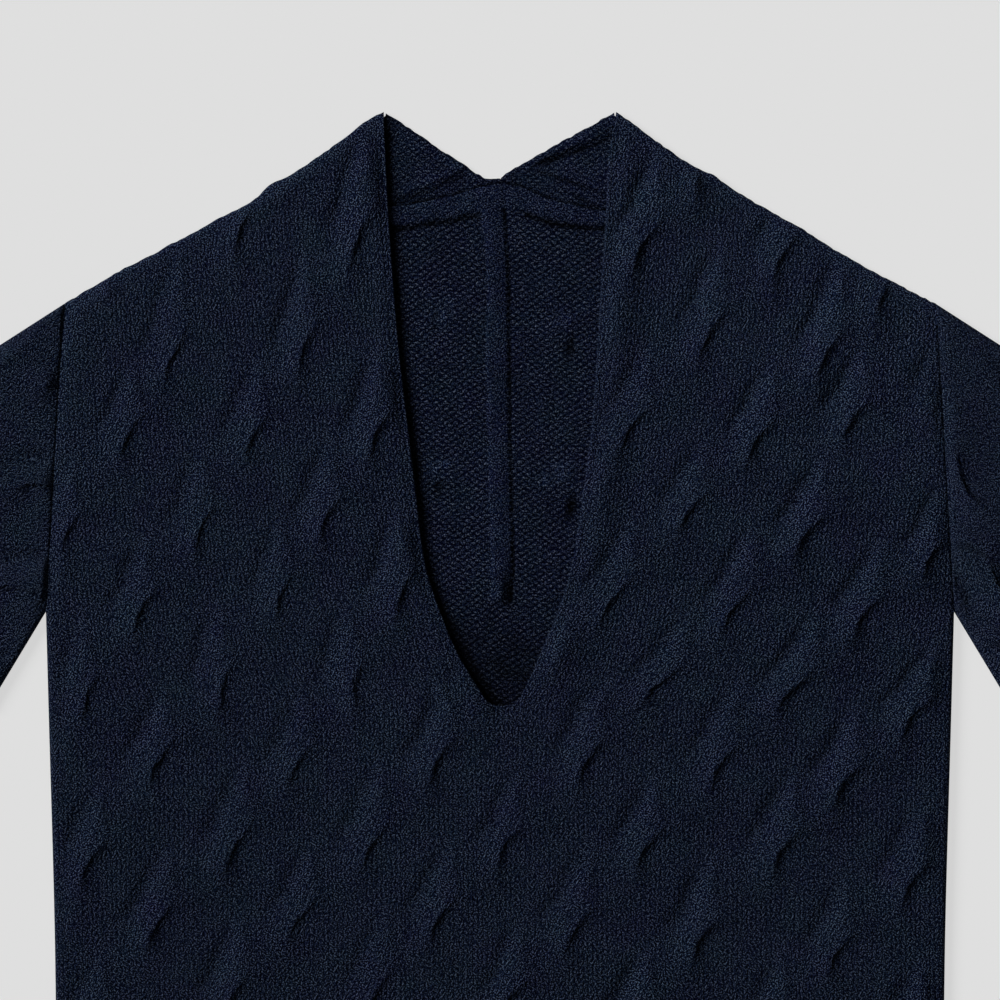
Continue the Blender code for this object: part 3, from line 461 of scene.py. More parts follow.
def closedShell(upper, rise, start, outline, kinds, low, carry):
    # The upper face's points, the walls' and the lower face's, the walls' quads, the points below
    # and the walls laid flat. The face's rise is carried down the wall, less at each step.
    profiles = {kind: roundProfile(kind, low) for kind in set(kinds)}
    out = np.array([profiles[kind][0] for kind in kinds])
    level = np.array([profiles[kind][1] for kind in kinds]) + rise[start][:, None] * carry
    at = upper[start, :2]
    ring = at[:, None] + (outline - at)[:, None] * out[:, :, None]
    ring = np.concatenate([ring, level[:, :, None]], axis=2)
    lower = np.column_stack([at, np.full(len(at), low)])
    points = np.concatenate([upper, ring.reshape(-1, 3), lower])

    count = len(start)
    onRing = len(upper) + np.arange(count * ringSteps).reshape(count, ringSteps)
    sections = np.column_stack([start, onRing, len(upper) + onRing.size + np.arange(count)])
    following = np.roll(sections, -1, axis=0)
    walls = [sections[:, 1:], following[:, 1:], following[:, :-1], sections[:, :-1]]
    walls = np.stack(walls, -1).reshape(-1, 4)
    return points, walls, sections[::-1, -1], unrolled(upper[start], outline, ring)


def panelShell(name, left, right, joined, low, relief, edges):
    # A closed shell: a fine upper face in two halves that share their middle column up to the
    # row `joined`, walls round its edge, and a flat lower face.
    rows, columns = left.shape[:2]
    leftIndex = np.arange(rows * columns).reshape(rows, columns)
    rightIndex = leftIndex + rows * columns
    rightIndex[:joined + 1, 0] = leftIndex[:joined + 1, -1]
    flat = np.concatenate([left.reshape(-1, 2), right.reshape(-1, 2)])
    height, uv, shades = relief(flat[:, 0], flat[:, 1])
    upper = np.column_stack([flat, low + cloth["wall"] + height])

    half, row, column, outline, kinds = edges
    start = np.where(half == 0, leftIndex[row, column], rightIndex[row, column])
    carry = np.linspace(1, 0, ringSteps + 2)[1:-1] ** 2
    points, walls, below, laid = closedShell(upper, height, start, outline, kinds, low, carry)
    quads = np.concatenate([gridQuads(leftIndex), gridQuads(rightIndex), walls])
    at = flat[start]
    ringUv = uv[start][:, None] + laid - at[:, None]
    # drop the right half's unused middle points
    used = np.zeros(len(points), dtype=bool)
    used[quads.ravel()] = True
    renumber = np.cumsum(used) - 1
    uvMaps = {"knit": np.concatenate([uv, ringUv.reshape(-1, 2), uv[start]])[used],
              "flat": np.concatenate([flat, laid.reshape(-1, 2), at])[used]}
    # a painted highlight on the walls of the shoulder folds
    paintedFoldLight = np.array([cloth["foldPaintedLight"] if kind == "round" else 0.0 for kind in kinds])
    allShades = {}
    for key, values in shades.items():
        around = np.repeat(values[start] - (paintedFoldLight if key == "paintedShade" else 0.0), ringSteps)
        allShades[key] = np.concatenate([values, around, np.zeros(len(start))])[used]
    return makeMesh(name, points[used], renumber[quads], renumber[below], uvMaps, allShades)


front = {
    "columns": 122,
    "rowsHem": 40,           # below the photograph's frame
    "rowsLow": 100,          # from there to the bottom of the V
    "rowsUnderarm": 46,
    "rowsHigh": 150,
    "frameY": -0.190,
    "selvedge": 0.0006,      # the V's finished edge: a bead and the groove beside it
    "rollLeft": 0.0014,      # how far the V's left edge rolls down
    "puffLeft": 0.0002,      # how far the cloth stands up beside the V
    "puffRight": 0.0016,
    "hemRise": 0.0005,
    "hemDepth": 0.016,
    "waves": 0.0004,         # the panel's own slow unevenness
    "shoulderDrop": 0.0008,
    "seamDip": 0.0008,       # towards the armhole seams
    "paintedLightUpwards": 0.8,            # painted light: the front grows paler upwards, for each metre
    "tipDrop": 0.0012,       # lower still along the V beside the tips
    "fadeOver": 0.010,       # the cables die out over this much cloth at folds and edges
    "shoulderFade": 0.008,
    "armFade": 0.012,
    "beadAt": 0.0016,        # of the selvedge: the bead's and groove's middles, and their width
    "grooveAt": 0.0040,
    "beadWidth": 0.0012,
    "armDipWidth": 0.003,
}


def frontHalf(side):
    # Flat's edge and outline of half the front, as the left half.
    edge = cloth["edge"]
    sign = -1 if side == "left" else 1
    endY = shoulderTable["y"][-1]
    shoulderX, shoulderHeight = shoulderTable["x"], shoulderTable["y"]
    slope = (endY - shoulderHeight[-2]) / (shoulderEndX - shoulderX[-2])
    tipSlope = (shoulderHeight[0] - shoulderHeight[1]) / (shoulderX[1] - tipX)
    tipFlatY = tipY - foldRadius * math.hypot(1, tipSlope) - edge * tipSlope
    tipFlat = np.array([-tipX - edge, tipFlatY])
    low = np.concatenate([np.linspace(hemY + edge, front["frameY"], front["rowsHem"] + 1),
                          np.linspace(front["frameY"], vBottomY - edge, front["rowsLow"] + 1)[1:]])
    side1 = np.linspace(low[-1], underarmY, front["rowsUnderarm"] + 1)[1:]
    armTop = endY - foldRadius * math.hypot(1, slope)
    side2 = np.linspace(underarmY, armTop, front["rowsHigh"] + 1)[1:]
    below = np.concatenate([low, side1[:-1]])
    above = np.concatenate([side1[-1:], side2])
    sideX = smoothCurve(sideTable, "y", "x", below)
    flatOuter = np.concatenate([pairs(-(sideX - foldRadius), below),
                                pairs(-armholeX(above), above)])
    lineOuter = np.concatenate([pairs(-sideX, below), pairs(-armholeX(above), above)])
    lineOuter[0, 1] = hemY

    # rows are closer together at the bottom of the V
    share = np.linspace(0, 1, front["rowsUnderarm"] + front["rowsHigh"] + 1) ** 1.12
    vY = vBottomY + (tipFlat[1] - vBottomY) * share
    vLine = pairs(-smoothCurve(neckTable, "y", side, vY), vY)
    along = np.gradient(vLine, axis=0)
    along /= np.linalg.norm(along, axis=1)[:, None]
    vFlat = vLine + edge * np.stack([-along[:, 1], along[:, 0]], axis=1)
    vFlat[0] = (0.0, vBottomY - edge)
    vFlat[-1] = tipFlat
    flatInner = np.concatenate([pairs(0.0, low)[:-1], vFlat])
    lineInner = np.concatenate([pairs(0.0, low)[:-1], vLine])

    hemX = np.linspace(flatOuter[0, 0], 0.0, front["columns"] + 1)
    lineHem = pairs(hemX, hemY)
    lineHem[0] = lineOuter[0]
    topX = np.linspace(flatOuter[-1, 0], tipFlat[0], front["columns"] + 1)
    flatTop = pairs(topX, shoulderY(-topX * sign, foldRadius))
    flatTop[0] = flatOuter[-1]
    flatTop[-1] = tipFlat
    lineX = np.linspace(-shoulderEndX, -tipX, front["columns"] + 1)
    lineTop = pairs(lineX, shoulderLine(-lineX * sign) + ragged(lineX * sign))
    grid = fourSided(pairs(hemX, low[0]), flatTop, flatOuter, flatInner)
    return {"grid": grid, "hem": lineHem, "outer": lineOuter, "inner": lineInner,
            "top": lineTop}


def mirrored(half):
    # The half on the other side: x changes sign, and its columns run the other way.
    flipped = {}
    for key, points in half.items():
        points = points * np.array([-1.0, 1.0])
        if key == "grid":
            points = points[:, ::-1]
        elif key in ("hem", "top"):
            points = points[::-1]
        flipped[key] = points
    return flipped


def fromNeckEdge(x, y):
    # Distance from the V's edge, roughly: sideways above its bottom, straight below it.
    left = smoothCurve(neckTable, "y", "left", y)
    right = smoothCurve(neckTable, "y", "right", y)
    beside = np.where(x < 0, -x - left, x - right)
    return np.where(y < vBottomY, np.hypot(x, y - vBottomY), beside)


def frontRelief(x, y):
    # Cables, faded out at the folds and edges; the V's edge, a bead with a groove beside it and
    # the cloth puffed up next to that; the hem; the fall to the shoulder; waves.
    across, along = knitCoordinates(x, y)
    height, shift, shades = cableRelief(across, along, frontCentres())
    fromV = fromNeckEdge(x, y)
    fromSide = np.where(y < underarmY, smoothCurve(sideTable, "y", "x", y) - np.abs(x), 0.02)
    fromShoulder = (shoulderLine(x) - y) * 0.85
    fromArm = np.where(y < underarmY, 1.0, armholeX(y) - np.abs(x))
    fade = smoothStep((fromSide - foldRadius) / front["fadeOver"])
    fade *= smoothStep((fromShoulder - foldRadius) / front["shoulderFade"] + 0.35)
    fade *= smoothStep((y - hemY - front["hemDepth"]) / front["fadeOver"])
    fade *= smoothStep((fromV - cloth["edge"]) / front["fadeOver"] + 0.1)
    fade *= smoothStep(fromArm / front["armFade"] + 0.05)
    edge = front["selvedge"] * (bell(fromV - front["beadAt"], front["beadWidth"])
                                - 0.10 * bell(fromV - front["grooveAt"], front["beadWidth"]))
    puff = np.where(x < 0, front["puffLeft"] * bell(fromV - 0.004, 0.006),
                    front["puffRight"] * bell(fromV - 0.012, 0.008))
    puff -= np.where(x < 0, front["rollLeft"] * smoothStep(1 - fromV / 0.0060), 0.0)
    puff *= smoothStep((y - vBottomY + 0.004) / 0.03) * smoothStep(fromShoulder / 0.03)
    hem = front["hemRise"] * smoothStep((hemY + front["hemDepth"] - y) / 0.002)
    inner = smoothStep(np.minimum(np.minimum(fromV, fromShoulder), fromSide) / 0.02)
    waves = front["waves"] * (evenNoise(x + 1, y + 1, 0.060, 3)
                              + 0.6 * evenNoise(x + 1, y + 1, 0.020, 4))
    drop = front["shoulderDrop"] * smoothStep(1 - fromShoulder / 0.025)
    drop += front["tipDrop"] * smoothStep(1 - (tipY - y) / 0.07) * smoothStep(1 - fromV / 0.03)
    drop += front["seamDip"] * bell(fromArm, front["armDipWidth"])
    uv = np.stack([across, along], axis=1) + shift * fade[:, None]
    shades["paintedShade"] *= fade
    shades["line"] *= fade
    # painted light: the front lighter upwards and, in its upper part, towards the right
    paintedLightRightwards = x.clip(0) * smoothStep((y - 0.05) / 0.15)
    shades["paintedShade"] -= front["paintedLightUpwards"] * ((y - 0.05) + paintedLightRightwards)
    shades["plain"] = smoothStep(1.3 - (fromShoulder - foldRadius) / 0.004)
    return height * fade + edge + puff + hem + waves * inner - drop, uv, shades


def frontPiece():
    # Two halves joined below the V. Its edge runs along the hem, up the right side and armhole,
    # over the shoulder, round the V, and down the left.
    left = frontHalf("left")
    right = mirrored(frontHalf("right"))
    rows, columns = left["grid"].shape[:2]
    joined = front["rowsHem"] + front["rowsLow"]
    onSide = joined + front["rowsUnderarm"]
    last = columns - 1
    top = rows - 1
    across = np.arange(columns)
    turned = across[::-1]
    side = np.arange(1, onSide)
    arm = np.arange(onSide, top)
    down = np.arange(top - 1, joined - 1, -1)
    up = np.arange(joined + 1, top)
    edges = edgeRuns([
        (0, 0, across[:1], left["hem"][:1], "frontSide"),
        (0, 0, across[1:], left["hem"][1:], "open"),
        (1, 0, across[1:-1], right["hem"][1:-1], "open"),
        (1, 0, across[-1:], right["hem"][-1:], "frontSide"),
        (1, side, last, right["outer"][side], "frontSide"),
        (1, arm, last, right["outer"][arm], "cut"),
        (1, top, turned, right["top"][turned], "round"),
        (1, down, 0, right["inner"][down], "open"),
        (0, up, last, left["inner"][up], "open"),
        (0, top, turned, left["top"][turned], "round"),
        (0, arm[::-1], 0, left["outer"][arm[::-1]], "cut"),
        (0, side[::-1], 0, left["outer"][side[::-1]], "frontSide"),
    ])
    return panelShell("frontKnit", left["grid"], right["grid"], joined, frontLow, frontRelief,
                      edges)


back = {
    "columns": [(-0.2468, -0.075, 44), (-0.075, 0.075, 176), (0.075, 0.2468, 44)],
    "rows": [(0.0, 0.50, 60), (0.50, 1.0, 264)],
    "allowanceRise": 0.0015,
    "allowanceWidth": 0.0126,
    "allowanceEnd": 0.039,
    "neckDepth": {"x": [-0.090, -0.060, -0.040, -0.010, 0.0, 0.016, 0.036, 0.058, 0.090],
                  "depth": [0.0, 0.0106, 0.0112, 0.0136, 0.0136, 0.0128, 0.0110, 0.0082, 0.0]},
    "overlap": 0.0007,       # how far its upper edge leans over the collar's
    "pucker": 0.0012,
    "deepShade": 1.15,       # how far it darkens down to the V's lower end
    "edgeShade": 1.6,        # and beside the V's left edge
    "edgeShadeWidth": 0.010,
    "mottle": 0.32,          # slow unevenness of its tone
    "darkest": 1.7,
    "grooveDepth": 0.0006,   # beside the allowance down the middle
    "grooveShade": 1.9,
    "footDepth": 0.0004,     # at the foot of the neck's allowance
    "footShade": 1.7,
    "allowancePaintedLight": (0.36, 0.30),  # painted light on them, down the middle and at the neck
    "lumpSize": 0.0034,      # of the yarn on the allowances
    "lumpRise": 0.22,
    "lumpLight": 1.2,
    "wrinkleSize": 0.0036,
    "wrinkleWidth": 0.34,
    # painted highlight on the crumpled ridges
    "wrinklePaintedLight": 2.3,
    "worn": (0.75, 0.7),     # how plain the knit looks on the allowances and the crumples
    "leansTo": 0.096,        # the upper edge leans over the collar's out to here
}
# reverse sides of cable crossings that show inside the V, by columns and rows of the photograph
puckers = {"column": [437, 440, 572, 572], "row": [322, 488, 345, 507],
           "size": [0.5, 0.7, 1.0, 1.25],
           "crumpledColumn": [443, 443, 566, 556], "crumpledRow": [312, 467, 319, 474]}
# the knot at the lower end of the centre seam
knot = {"column": 510, "row": 589, "width": 7, "height": 16, "depth": 0.0012, "shade": 2.0,
        "strand": 0.0010}


def backTopLine(x):
    # The back's upper edge: under the shoulder fold, and the neck seam between the neck points.
    fold = shoulderY(x, foldRadius + 0.0004)
    out = np.abs(x)
    seam = np.where(np.asarray(x) < 0, smoothCurve(neckSeamTable, "x", "left", out),
                    smoothCurve(neckSeamTable, "x", "right", out)) - cloth["seamGap"] / 2
    return np.where(out < neckPointX, np.minimum(seam, fold), fold)


def besideEdge(x, y):
    # shade along the V's left edge, a smooth step down to none
    inwards = x + smoothCurve(neckTable, "y", "left", y)
    shade = back["edgeShade"] * smoothStep(1 - inwards / back["edgeShadeWidth"])
    return shade * (inwards > -0.02) * (y > vBottomY)


def backRelief(x, y):
    # The inside of the back: seam allowances pressed down the middle and along the neck, each a low
    # cushion with painted light on it and a groove at its foot darkened with painted shade, puckers
    # behind the cables with painted shade in their dents and painted light on their ridges, and
    # slow waves. Painted shade deepens down to the V's lower end and lies beside its left edge.
    def uneven(size, seed, up=1):
        return evenNoise(x + 1, y + up, size, seed)

    seam = smoothCurve(centreSeamTable, "y", "x", y)
    beside = seam - x
    width = back["allowanceWidth"] + 0.0009 * uneven(0.007, 11)
    lasts = smoothStep((y - back["allowanceEnd"]) / 0.004)
    onStrip = smoothStep(beside / 0.0010) * smoothStep((width - beside) / 0.0018)
    cushion = 0.45 + 0.55 * smoothStep(beside / width * 1.4)
    lumps = uneven(back["lumpSize"], 19)
    strip = onStrip * cushion * lasts * (1 + back["lumpRise"] * lumps)
    groove = bell(beside + 0.0008 + 0.0003 * uneven(0.008, 15), 0.0008) * lasts
    groove = groove * (0.75 + 0.40 * uneven(0.006, 14))
    foot = 0.5 * bell(beside - width - 0.0004, 0.0009) * lasts
    underNeck = backTopLine(x) - y
    depth = smoothCurve(back["neckDepth"], "x", "depth", x) + 0.0008 * uneven(0.009, 12, 2)
    nearNeck = smoothStep((0.075 - np.abs(x)) / 0.008)
    onBand = smoothStep((depth - underNeck) / 0.0018) * nearNeck
    downBand = np.clip(underNeck / depth.clip(0.001), 0, 1)
    band = onBand * (0.55 + 0.45 * np.sin(downBand * math.pi))
    band = band * (1 + back["lumpRise"] * lumps)
    neckFoot = bell(underNeck - depth - 0.0010, 0.0016) * nearNeck
    neckFoot *= smoothStep((np.abs(x - 0.002) - 0.010) / 0.004)
    height = (back["allowanceRise"] * np.maximum(strip, band) - back["grooveDepth"] * groove
              - back["footDepth"] * neckFoot)
    # painted shade in the groove beside the middle allowance and at the feet of the allowances
    shade = np.maximum(back["grooveShade"] * groove, 0.3 * foot) * (1 - 0.8 * onBand)
    shade = np.maximum(shade, back["footShade"] * neckFoot)
    # painted light on the allowances, on the middle one's left part; the yarn's lumps make it
    # uneven
    paintedLightStrip = onStrip * lasts * smoothStep((beside / width - 0.30) / 0.15) * (1 - onBand)
    light = back["allowancePaintedLight"][0] * paintedLightStrip + back["allowancePaintedLight"][1] * onBand
    light = light * (1 + back["lumpLight"] * lumps)
    crumpled = 0 * x
    wrinkle = smoothStep(1 - np.abs(uneven(back["wrinkleSize"], 17)) / back["wrinkleWidth"])
    for column, row, size, wideColumn, wideRow in zip(*puckers.values()):
        right, downwards = photoOffset(x, y, column, row)
        dent = spot(right + 0.2 * downwards, 5, downwards, 12)
        right += column - wideColumn
        downwards += row - wideRow
        ridge = spot(right, 17, downwards + 0.35 * right, 10)
        height += back["pucker"] * (0.9 * ridge * wrinkle - size * dent)
        # painted shade in the dents and a painted highlight on the crumpled ridges
        shade = np.maximum(shade, 1.6 * size * dent)
        light += ridge * (back["wrinklePaintedLight"] * wrinkle + 0.10)
        crumpled = np.maximum(crumpled, ridge)
    right, downwards = photoOffset(x, y, knot["column"], knot["row"])
    pinch = spot(right, knot["width"], downwards, knot["height"])
    # painted shade in the knot's pinch
    shade = np.maximum(shade, knot["shade"] * pinch * (0.75 + 0.4 * uneven(0.003, 16)))
    height -= knot["depth"] * pinch
    height += knot["strand"] * spot(right + 9, 5, downwards - 4, 10)
    height += smoothStep(underNeck / 0.02) * 0.0003 * uneven(0.026, 13, 3)
    plain = np.maximum(back["worn"][0] * np.maximum(onStrip * lasts, onBand),
                       back["worn"][1] * crumpled)
    # painted shade deepening down to the V's lower end and painted shadow beside its left edge,
    # less the painted light
    shade += back["deepShade"] * smoothStep((0.060 - y) / 0.070) + besideEdge(x, y) - light
    shade += back["mottle"] * uneven(0.0065, 18)
    shade = np.minimum(shade, back["darkest"])
    uv = np.stack([x - seam, y + 0.05 * x], axis=1)
    return height, uv, {"paintedShade": shade, "plain": plain}


def backPiece():
    # One grid over the whole back: columns from side to side, rows from hem to upper edge.
    shares = np.concatenate([np.linspace(a, b, n + 1)[:-1] for a, b, n in back["rows"]] + [[1.0]])
    station = np.concatenate([np.linspace(a, b, n + 1)[:-1] for a, b, n in back["columns"]]
                             + [[back["columns"][-1][1]]])
    wide = station / station[-1]
    # each column's points rise evenly from the hem to the upper edge above it
    top = backTopLine(wide * (shoulderEndX - 0.0001))
    y = (hemY + cloth["edge"]) * (1 - shares[:, None]) + top[None] * shares[:, None]
    sideX = smoothCurve(sideTable, "y", "x", y) - foldRadius
    halfWidth = np.where(y < underarmY, sideX, armholeX(y))
    grid = np.stack([wide[None] * halfWidth, y], axis=2)
    middle = len(station) // 2
    halves = (grid[:, :middle + 1], grid[:, middle:])
    rows, columns = halves[0].shape[:2]
    last = columns - 1
    end = rows - 1
    lines = []
    topKinds = []
    for part, outer, sign in zip(halves, (0, last), (-1, 1)):
        line = part.copy()
        below = part[:, outer, 1] < underarmY
        line[below, outer, 0] = sign * smoothCurve(sideTable, "y", "x", part[below, outer, 1])
        line[0, :, 1] = hemY
        leans = np.abs(part[end, :, 0]) < back["leansTo"]
        line[end, :, 1] += np.where(leans, back["overlap"], 0.0)
        lines.append(line)
        topKinds.append(np.where(leans, "over", "cut")[::-1].tolist())
    across = np.arange(columns)
    turned = across[::-1]
    onSide = int(np.sum(halves[1][:, last, 1] < underarmY))
    side = np.arange(1, onSide)
    arm = np.arange(onSide, end)
    runs = [
        (0, 0, across[:1], "backSide"), (0, 0, across[1:], "open"),
        (1, 0, across[1:-1], "open"), (1, 0, across[-1:], "backSide"),
        (1, side, last, "backSide"), (1, arm, last, "cut"),
        (1, end, turned, topKinds[1]), (0, end, turned[1:], topKinds[0][1:]),
        (0, arm[::-1], 0, "cut"), (0, side[::-1], 0, "backSide"),
    ]
    edges = edgeRuns([(which, row, column, lines[which][row, column], kind)
                      for which, row, column, kind in runs])
    return panelShell("backKnit", halves[0], halves[1], end, 0.0, backRelief, edges)


collar = {
    "columns": 116,
    "rows": 46,
    "overlap": 0.0007,
    "tip": 0.0634,           # where the free edge meets the fold
    "raggedness": 1.3,       # of its free edge, beside the shoulders'
    "roll": {"left": 0.0008, "right": 0.0016},   # height of the turned edge
    "groove": {"left": 0.25, "right": 1.6},      # under it
    "grooveShade": 0.95,
    "seamShade": 1.2,
    # painted highlight along the top of the roll
    "rollPaintedLight": 0.30,
    "rollWidth": 0.0037,     # near the middle; it widens outwards
    "rollWidens": 0.162,
    "ridge": 0.0013,         # height of the soft folds
    # the left half's fold: a point of it, its slope and where it ends
    "foldLeft": {"x": -0.040, "y": 0.2712, "slope": 0.42, "from": -0.066, "to": -0.016},
    # the right half's two folds, down from the middle to the fold's side, in the same way
    "foldsRight": {"y": [0.2668, 0.2722], "slope": [0.55, 0.34], "from": [0.034, 0.016]},
    "foldsRightX": 0.037,    # where both have those heights
    "worn": 0.40,            # how far its stitches are pressed flat
}


def collarGrid(side):
    # Grid from the neck seam up to the free edge, and from the centre back out to the fold.
    sign = -1 if side == "left" else 1
    halfSeam = cloth["seamGap"] / 2
    overlap = collar["overlap"]
    tip = collar["tip"]
    centreX = halfSeam if side == "left" else halfSeam + overlap
    share = np.linspace(0, 1, collar["columns"] + 1)
    seamX = centreX + (neckPointX - centreX) * share
    seamY = smoothCurve(neckSeamTable, "x", side, seamX) + halfSeam + overlap
    seam = pairs(-seamX, np.minimum(seamY, shoulderY(seamX * sign, foldRadius + 0.0004)))
    edgeX = centreX + (tip - centreX) * share
    lineY = smoothCurve(collarTable, "x", side, edgeX)
    line = pairs(-edgeX, lineY + ragged(edgeX * sign) * collar["raggedness"])
    flatEdge = pairs(-edgeX, lineY - cloth["edge"])
    foldX = np.linspace(neckPointX, tip, collar["rows"] + 1)
    gap = np.linspace(0.0004, 0.0006, collar["rows"] + 1)
    slope = (shoulderTable["y"][1] - tipY) / (shoulderTable["x"][1] - tipX)
    foldY = shoulderLine(foldX * sign) - (foldRadius + gap) * math.hypot(1, slope)
    fold = pairs(-foldX, foldY)
    fold[0] = seam[-1]
    flatEdge[-1] = fold[-1]
    centre = pairs(-centreX, np.linspace(seam[0, 1], flatEdge[0, 1], collar["rows"] + 1))
    grid = fourSided(seam, flatEdge, centre, fold)
    if side == "right":
        mirror = np.array([-1.0, 1.0])
        return grid * mirror, line * mirror
    return grid[:, ::-1], line[::-1]


def collarRelief(side, x, y, fromEdge, fromSeam):
    # The free edge is turned in as a roll with a groove under it; the groove and the neck seam get
    # painted shade, and the roll a painted highlight. The soft folds are bells along straight
    # lines, painted shade below and painted light on top.
    out = np.abs(x)
    roll = collar["roll"][side] * smoothStep((out - 0.010) / 0.015)
    rollWidth = collar["rollWidth"] + collar["rollWidens"] * (out - 0.0187).clip(0)
    inRoll = np.clip(fromEdge / rollWidth, 0, 1)
    rise = roll * np.sin(np.clip(inRoll * 1.15 + 0.1, 0, 1) * math.pi) ** 0.5
    groove = bell(fromEdge - rollWidth - 0.0004, 0.0013)
    groove *= smoothStep((out - 0.012) / 0.020) * collar["groove"][side]
    fold = 0 * x
    if side == "left":
        line = collar["foldLeft"]
        beside = (y - line["y"] - line["slope"] * (x - line["x"])) / math.hypot(1, line["slope"])
        ends = smoothStep((x - line["from"]) / 0.01) * smoothStep((line["to"] - x) / 0.008)
        rise = rise + collar["ridge"] * bell(beside, 0.0026) * ends
        fold += (0.95 * bell(beside + 0.0040, 0.0013) - 0.35 * bell(beside - 0.0006, 0.0020)) * ends
    else:
        for low, slope, start in zip(*collar["foldsRight"].values()):
            beside = (y - low + slope * (x - collar["foldsRightX"])) / math.hypot(1, slope)
            ends = smoothStep((x - start) / 0.008)
            rise = rise + 0.8 * collar["ridge"] * bell(beside - 0.0022, 0.0016) * ends
            fold += (1.1 * bell(beside, 0.0013) - 0.35 * bell(beside - 0.0028, 0.0016)) * ends
    nearSeam = bell(fromSeam - 0.0008, 0.0014)
    rise = rise - 0.0005 * groove - 0.0004 * nearSeam
    rise += 0.0003 * evenNoise(x + 1, y + 1, 0.010, 21)
    # painted shade in the groove, beside the seam and beside the V's left edge, then the folds'
    # painted shade and light
    shade = np.maximum(collar["grooveShade"] * groove, collar["seamShade"] * nearSeam)
    shade = np.maximum(shade, besideEdge(x, y))
    shade = np.where(shade > 0.2, np.maximum(shade, fold), shade + fold)
    shade -= collar["rollPaintedLight"] * smoothStep((rollWidth - fromEdge) / 0.001) * (out > 0.012)
    mottle = back["mottle"] * 1.2 * evenNoise(x + 1, y + 1, 0.0060, 22)
    return rise, np.minimum(shade + mottle, back["darkest"])


def collarPiece(name, side):
    # The grid as a closed shell. At the centre back the left half leans over the right one, and
    # both go under the back's edge.
    grid, line = collarGrid(side)
    rows, columns = collar["rows"], collar["columns"]
    t = np.linspace(0, 1, rows + 1)[:, None]
    width = np.linalg.norm(grid[-1] - grid[0], axis=1)[None]
    rise, shade = collarRelief(side, grid[..., 0], grid[..., 1], (1 - t) * width, t * width)
    flat = grid.reshape(-1, 2)
    rise = rise.ravel()
    upper = np.column_stack([flat, cloth["wall"] + rise])
    index = np.arange(len(flat)).reshape(rows + 1, columns + 1)
    loop = np.concatenate([index[0], index[1:, -1], index[-1, -2::-1], index[-2:0:-1, 0]])
    centreColumn = columns if side == "left" else 0
    free = slice(1, None) if side == "left" else slice(0, columns)
    kinds = np.full(len(flat), "cut", dtype=object)
    kinds[index[1:, centreColumn]] = "over" if side == "left" else "under"
    kinds[index[0]] = "under"
    kinds[index[-1, free]] = "open"
    outline = flat.copy()
    outline[index[1:, centreColumn], 0] += collar["overlap"] * (1 if side == "left" else -1)
    outline[index[0], 1] -= collar["overlap"]
    outline[index[-1, free]] = line[free]
    carry = np.linspace(1, 0, ringSteps + 2)[1:-1]
    points, walls, below, laid = closedShell(upper, rise, loop, outline[loop], kinds[loop], 0.0,
                                             carry)
    uv = np.concatenate([flat, laid.reshape(-1, 2), flat[loop]])
    shade = np.concatenate([shade.ravel(), np.zeros(len(loop) * (ringSteps + 1))])
    return makeMesh(name, points, np.concatenate([gridQuads(index), walls]), below,
                    {"knit": uv, "flat": uv},
                    {"paintedShade": shade, "plain": 0 * shade + collar["worn"]})


sleeve = {
    "cuffTop": (0.370, 0.1210),
    "cuffLow": (0.2826, -0.0190),
    "across": 92,
    "along": 76,
    "foldSteps": 7,
    "underEvery": 4,         # the lower face has every fourth of the upper one's points
    "insideEvery": 6,        # and the inside every sixth of the rings
    "hemRise": 0.0005,
    "hemDepth": 0.016,
}


